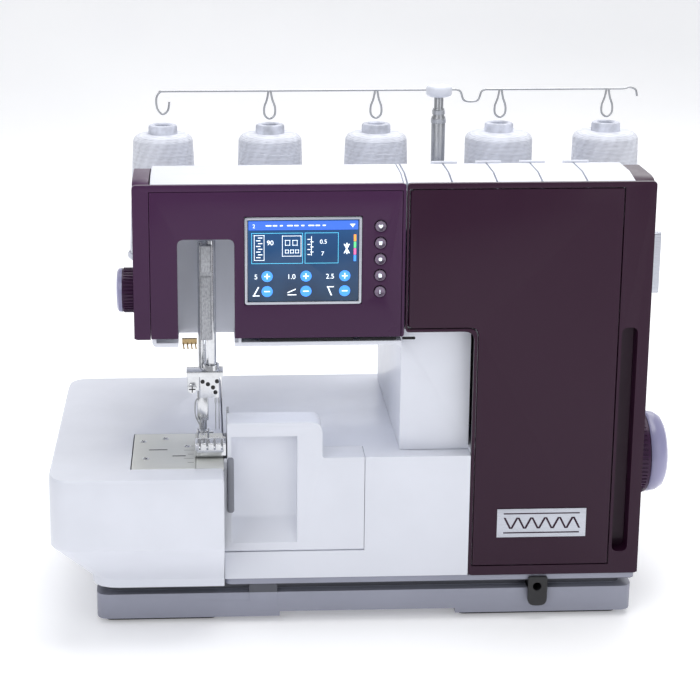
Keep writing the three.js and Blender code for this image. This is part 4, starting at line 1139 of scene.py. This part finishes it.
# ---------------------------------------------------------------- mast and guide wire
def build_mast():
    """Telescopic mast with a collar on each lower section, and its cap."""
    for node in ("mast_lower", "mast_middle", "mast_upper"):
        finished_node(node, 0.25 * MM, 2)
    for node, rise in (("mast_lower", 1.6), ("mast_middle", 1.2)):
        low, high = ends(node)
        x, y, _ = middle(node)
        inner, outer = (high.x - low.x) / 2 + 0.05 * MM, (high.x - low.x) / 2 + 0.6 * MM
        collar = [(inner, -4 * MM), (outer, -3.7 * MM), (outer, -0.3 * MM), (inner, 0)]
        turned(f"{node}_collar", closed_spin, collar, "steel", node, (x, y, high.z - rise * MM), "Z", 48)
    low, high = ends("mast_cap")
    radius = (high.x - low.x) / 2
    tall = high.z - low.z
    x, y, _ = middle("mast_cap")
    curve = ((0, 0), (0.72, 0), (0.9, 0.08), (1, 0.22), (1, 0.7), (0.95, 0.86), (0.82, 0.96), (0.5, 1),
             (0, 1))
    profile = [(radius * out, tall * up) for out, up in curve]
    cap = turned("mast_cap_dome", spun, profile, "white_casing", "mast_cap", (x, y, low.z), smooth=50)
    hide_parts("mast_cap")
    build_guide_wire()


def build_guide_wire():
    """Guide wire: open hook on the left, four loops, a dip to the right of the mast."""
    low, high = ends("guide_wire")
    _, y, _ = middle("guide_wire")
    z = high.z - 1.9 * MM
    left, mast, right = low.x + 0.16 * MM, middle("mast_upper").x, high.x + 0.15 * MM
    radius = 0.9 * MM
    hook = ((12, -9), (10.5, -16.5), (6, -19.5), (1.6, -15), (0.9, -6), (4, -0.8), (9, 0), (60, 0))
    dip = ((-60, 0), (6.7, 0), (14.7, 0), (18.7, -2), (22.2, -9.5), (33.2, -9.5), (36.7, -2), (40.7, 0),
           (48.7, 0))
    tail = ((-40, 0), (-14, 0), (-8, 1.2), (-2.5, -1), (-0.9, -6.5))
    half = ((0.9, 0), (2.2, -7.2), (4.55, -14.4), (4.2, -21.1))
    loop = (*half, (0, -24), *((-out, rise) for out, rise in half[::-1]))

    def bent(start, turns):
        return [(start + along * MM, y, z + rise * MM) for along, rise in turns]

    bm = bmesh.new()
    tube(bm, smooth_path([*bent(left, hook), *bent(mast, dip), *bent(right, tail)], 6), radius, 14)
    for index, offset in ((2, -0.3), (3, -0.3), (4, 0.5), (5, 0.3)):
        x = middle(f"thread_cone_{index}").x + offset * MM
        tube(bm, smooth_path(bent(x, loop), 7), radius, 12)
    wire = added("guide_wire_bent", bm, "steel", "guide_wire", smooth=60)
    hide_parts("guide_wire")


# ---------------------------------------------------------------- base
def build_base(sizes):
    finished_node("base_tray", sizes.casing_edge * 0.9, 3)
    for node in ("foot_pad_left", "foot_pad_right"):
        finished_node(node, 0.8 * MM, 2)


# ---------------------------------------------------------------- stage
def build_stage(camera):
    """Pale floor with a curved backdrop, soft light and the camera."""
    scene = bpy.context.scene
    bm = bmesh.new()
    depth, rise, bend = 3.2, 3.0, 1.2
    profile = [(-3.5, 0.0)] + [(depth - bend + bend * math.sin(a), bend - bend * math.cos(a))
                               for a in (math.pi / 2 * k / 16 for k in range(17))] + [(depth, rise)]
    sides = [[bm.verts.new((x, y, z)) for y, z in profile] for x in (-5.0, 5.0)]
    for k in range(len(profile) - 1):
        bm.faces.new([sides[0][k], sides[1][k], sides[1][k + 1], sides[0][k + 1]])
    backdrop = bpy.data.objects.new("backdrop", mesh_of(bm, "backdrop"))
    scene.collection.objects.link(backdrop)
    paper = Finish("studio paper", roughness=0.9, Emission_Color=(1.0, 1.0, 1.0, 1.0), Emission_Strength=0.22)
    where, _, _, _ = paper.place()
    cloud = paper.noise(where, 3.0).spread(0.3, 0.7)
    paper.set("Base Color", paper.mix(cloud, (0.93, 0.93, 0.94), (0.96, 0.96, 0.965)))
    backdrop.data.materials.append(paper.material)
    backdrop.data.polygons.foreach_set("use_smooth", [True] * len(backdrop.data.polygons))

    world = bpy.data.worlds.new("studio")
    world.use_nodes = True
    world.node_tree.nodes["Background"].inputs["Color"].default_value = (0.93, 0.95, 1.0, 1.0)
    world.node_tree.nodes["Background"].inputs["Strength"].default_value = 0.46
    scene.world = world
    lights = (("key", (-1.2, -1.7, 1.5), 1.3, 12.0), ("fill", (1.5, -1.9, 0.9), 1.6, 6.5),
              ("top", (0.2, 0.1, 1.9), 1.4, 22.0), ("rear", (0.5, 1.6, 1.4), 1.4, 8.0))
    for name, spot, size, power in lights:
        lamp = bpy.data.lights.new(name, "AREA")
        lamp.size = size
        lamp.energy = power
        carrier = bpy.data.objects.new(name, lamp)
        carrier.location = spot
        carrier.rotation_euler = (Vector((0, 0, 0.15)) - Vector(spot)).to_track_quat("-Z", "Y").to_euler()
        scene.collection.objects.link(carrier)
    scene.view_settings.view_transform = "Standard"

    lens = bpy.data.cameras.new("camera")
    lens.sensor_width = 36.0
    lens.lens = camera.lens
    lens.shift_x, lens.shift_y = camera.shift
    eye = bpy.data.objects.new("camera", lens)
    eye.location = camera.place
    eye.rotation_euler = (math.pi / 2 - camera.tilt, 0.0, -camera.pan)
    scene.collection.objects.link(eye)
    scene.camera = eye


# ---------------------------------------------------------------- operators
class OVERLOCK_OT_finishes(bpy.types.Operator):
    """Make the finishes and the growth trees."""
    bl_idname = "overlock.finishes"
    bl_label = "Finishes"

    def execute(self, context):
        FINISHES.update(build_finishes(context.scene.overlock_colours))
        GROWTHS.update(copies=placed_copies(), ribs=ring_of_ribs(), strand=wound_strand())
        return {"FINISHED"}


class OVERLOCK_OT_casings(bpy.types.Operator):
    """Make the white casings, covers and the removable bed."""
    bl_idname = "overlock.casings"
    bl_label = "Casings"

    def execute(self, context):
        build_casings(context.scene.overlock_sizes)
        return {"FINISHED"}


class OVERLOCK_OT_fronts(bpy.types.Operator):
    """Make the plum head, the door, its frame and the badge plate."""
    bl_idname = "overlock.fronts"
    bl_label = "Fronts"

    def execute(self, context):
        build_fronts(context.scene.overlock_sizes)
        return {"FINISHED"}


class OVERLOCK_OT_display(bpy.types.Operator):
    """Make the touch display, its bezel and what it shows."""
    bl_idname = "overlock.display"
    bl_label = "Display"

    def execute(self, context):
        build_display()
        return {"FINISHED"}


class OVERLOCK_OT_buttons(bpy.types.Operator):
    """Make the five round buttons and their symbols."""
    bl_idname = "overlock.buttons"
    bl_label = "Buttons"

    def execute(self, context):
        build_buttons()
        return {"FINISHED"}


class OVERLOCK_OT_sewing_parts(bpy.types.Operator):
    """Make the needle bar, clamp, needles, presser, knife and loopers."""
    bl_idname = "overlock.sewing_parts"
    bl_label = "Sewing parts"

    def execute(self, context):
        build_sewing_parts(context.scene.overlock_sizes)
        return {"FINISHED"}


class OVERLOCK_OT_plates(bpy.types.Operator):
    """Make the needle plate, the stitch plate and the free arm."""
    bl_idname = "overlock.plates"
    bl_label = "Plates"

    def execute(self, context):
        build_plates(context.scene.overlock_sizes)
        return {"FINISHED"}


class OVERLOCK_OT_wheels(bpy.types.Operator):
    """Make the drive, the handwheel, the side dial and the levers."""
    bl_idname = "overlock.wheels"
    bl_label = "Wheels and levers"

    def execute(self, context):
        build_drive()
        build_handwheel(context.scene.overlock_sizes)
        build_side_dial(context.scene.overlock_sizes)
        build_levers()
        return {"FINISHED"}


class OVERLOCK_OT_cones(bpy.types.Operator):
    """Make the five cones of thread."""
    bl_idname = "overlock.cones"
    bl_label = "Thread cones"

    def execute(self, context):
        build_cones(context.scene.overlock_sizes)
        return {"FINISHED"}


class OVERLOCK_OT_mast(bpy.types.Operator):
    """Make the telescopic mast, its cap and the guide wire."""
    bl_idname = "overlock.mast"
    bl_label = "Mast and guide wire"

    def execute(self, context):
        build_mast()
        return {"FINISHED"}


class OVERLOCK_OT_base(bpy.types.Operator):
    """Make the base and its rubber pads."""
    bl_idname = "overlock.base"
    bl_label = "Base"

    def execute(self, context):
        build_base(context.scene.overlock_sizes)
        return {"FINISHED"}


class OVERLOCK_OT_stage(bpy.types.Operator):
    """Make the floor, the light and the camera."""
    bl_idname = "overlock.stage"
    bl_label = "Stage"

    def execute(self, context):
        build_stage(context.scene.overlock_camera)
        return {"FINISHED"}


STEPS = (OVERLOCK_OT_finishes, OVERLOCK_OT_casings, OVERLOCK_OT_fronts, OVERLOCK_OT_display,
         OVERLOCK_OT_buttons, OVERLOCK_OT_sewing_parts, OVERLOCK_OT_plates, OVERLOCK_OT_wheels,
         OVERLOCK_OT_cones, OVERLOCK_OT_mast, OVERLOCK_OT_base, OVERLOCK_OT_stage)
SETTINGS = {"overlock_colours": OverlockColours, "overlock_sizes": OverlockSizes,
            "overlock_camera": OverlockCamera}


class OVERLOCK_PT_panel(bpy.types.Panel):
    """Lists the steps and their settings."""
    bl_label = "Overlock machine"
    bl_idname = "OVERLOCK_PT_panel"
    bl_space_type = "VIEW_3D"
    bl_region_type = "UI"
    bl_category = "Overlock"

    def draw(self, context):
        for name, group in SETTINGS.items():
            box = self.layout.box()
            for label in group.__annotations__:
                box.prop(getattr(context.scene, name), label)
        for step in STEPS:
            self.layout.operator(step.bl_idname)


def register():
    for group in SETTINGS.values():
        bpy.utils.register_class(group)
    for name, group in SETTINGS.items():
        setattr(bpy.types.Scene, name, bpy.props.PointerProperty(type=group))
    for step in (*STEPS, OVERLOCK_PT_panel):
        bpy.utils.register_class(step)


def unregister():
    for step in (OVERLOCK_PT_panel, *reversed(STEPS)):
        bpy.utils.unregister_class(step)
    for name in SETTINGS:
        delattr(bpy.types.Scene, name)
    for group in SETTINGS.values():
        bpy.utils.unregister_class(group)


def main():
    register()
    for step in STEPS:
        family, name = step.bl_idname.split(".")
        getattr(getattr(bpy.ops, family), name)()


if __name__ == "__main__":
    main()
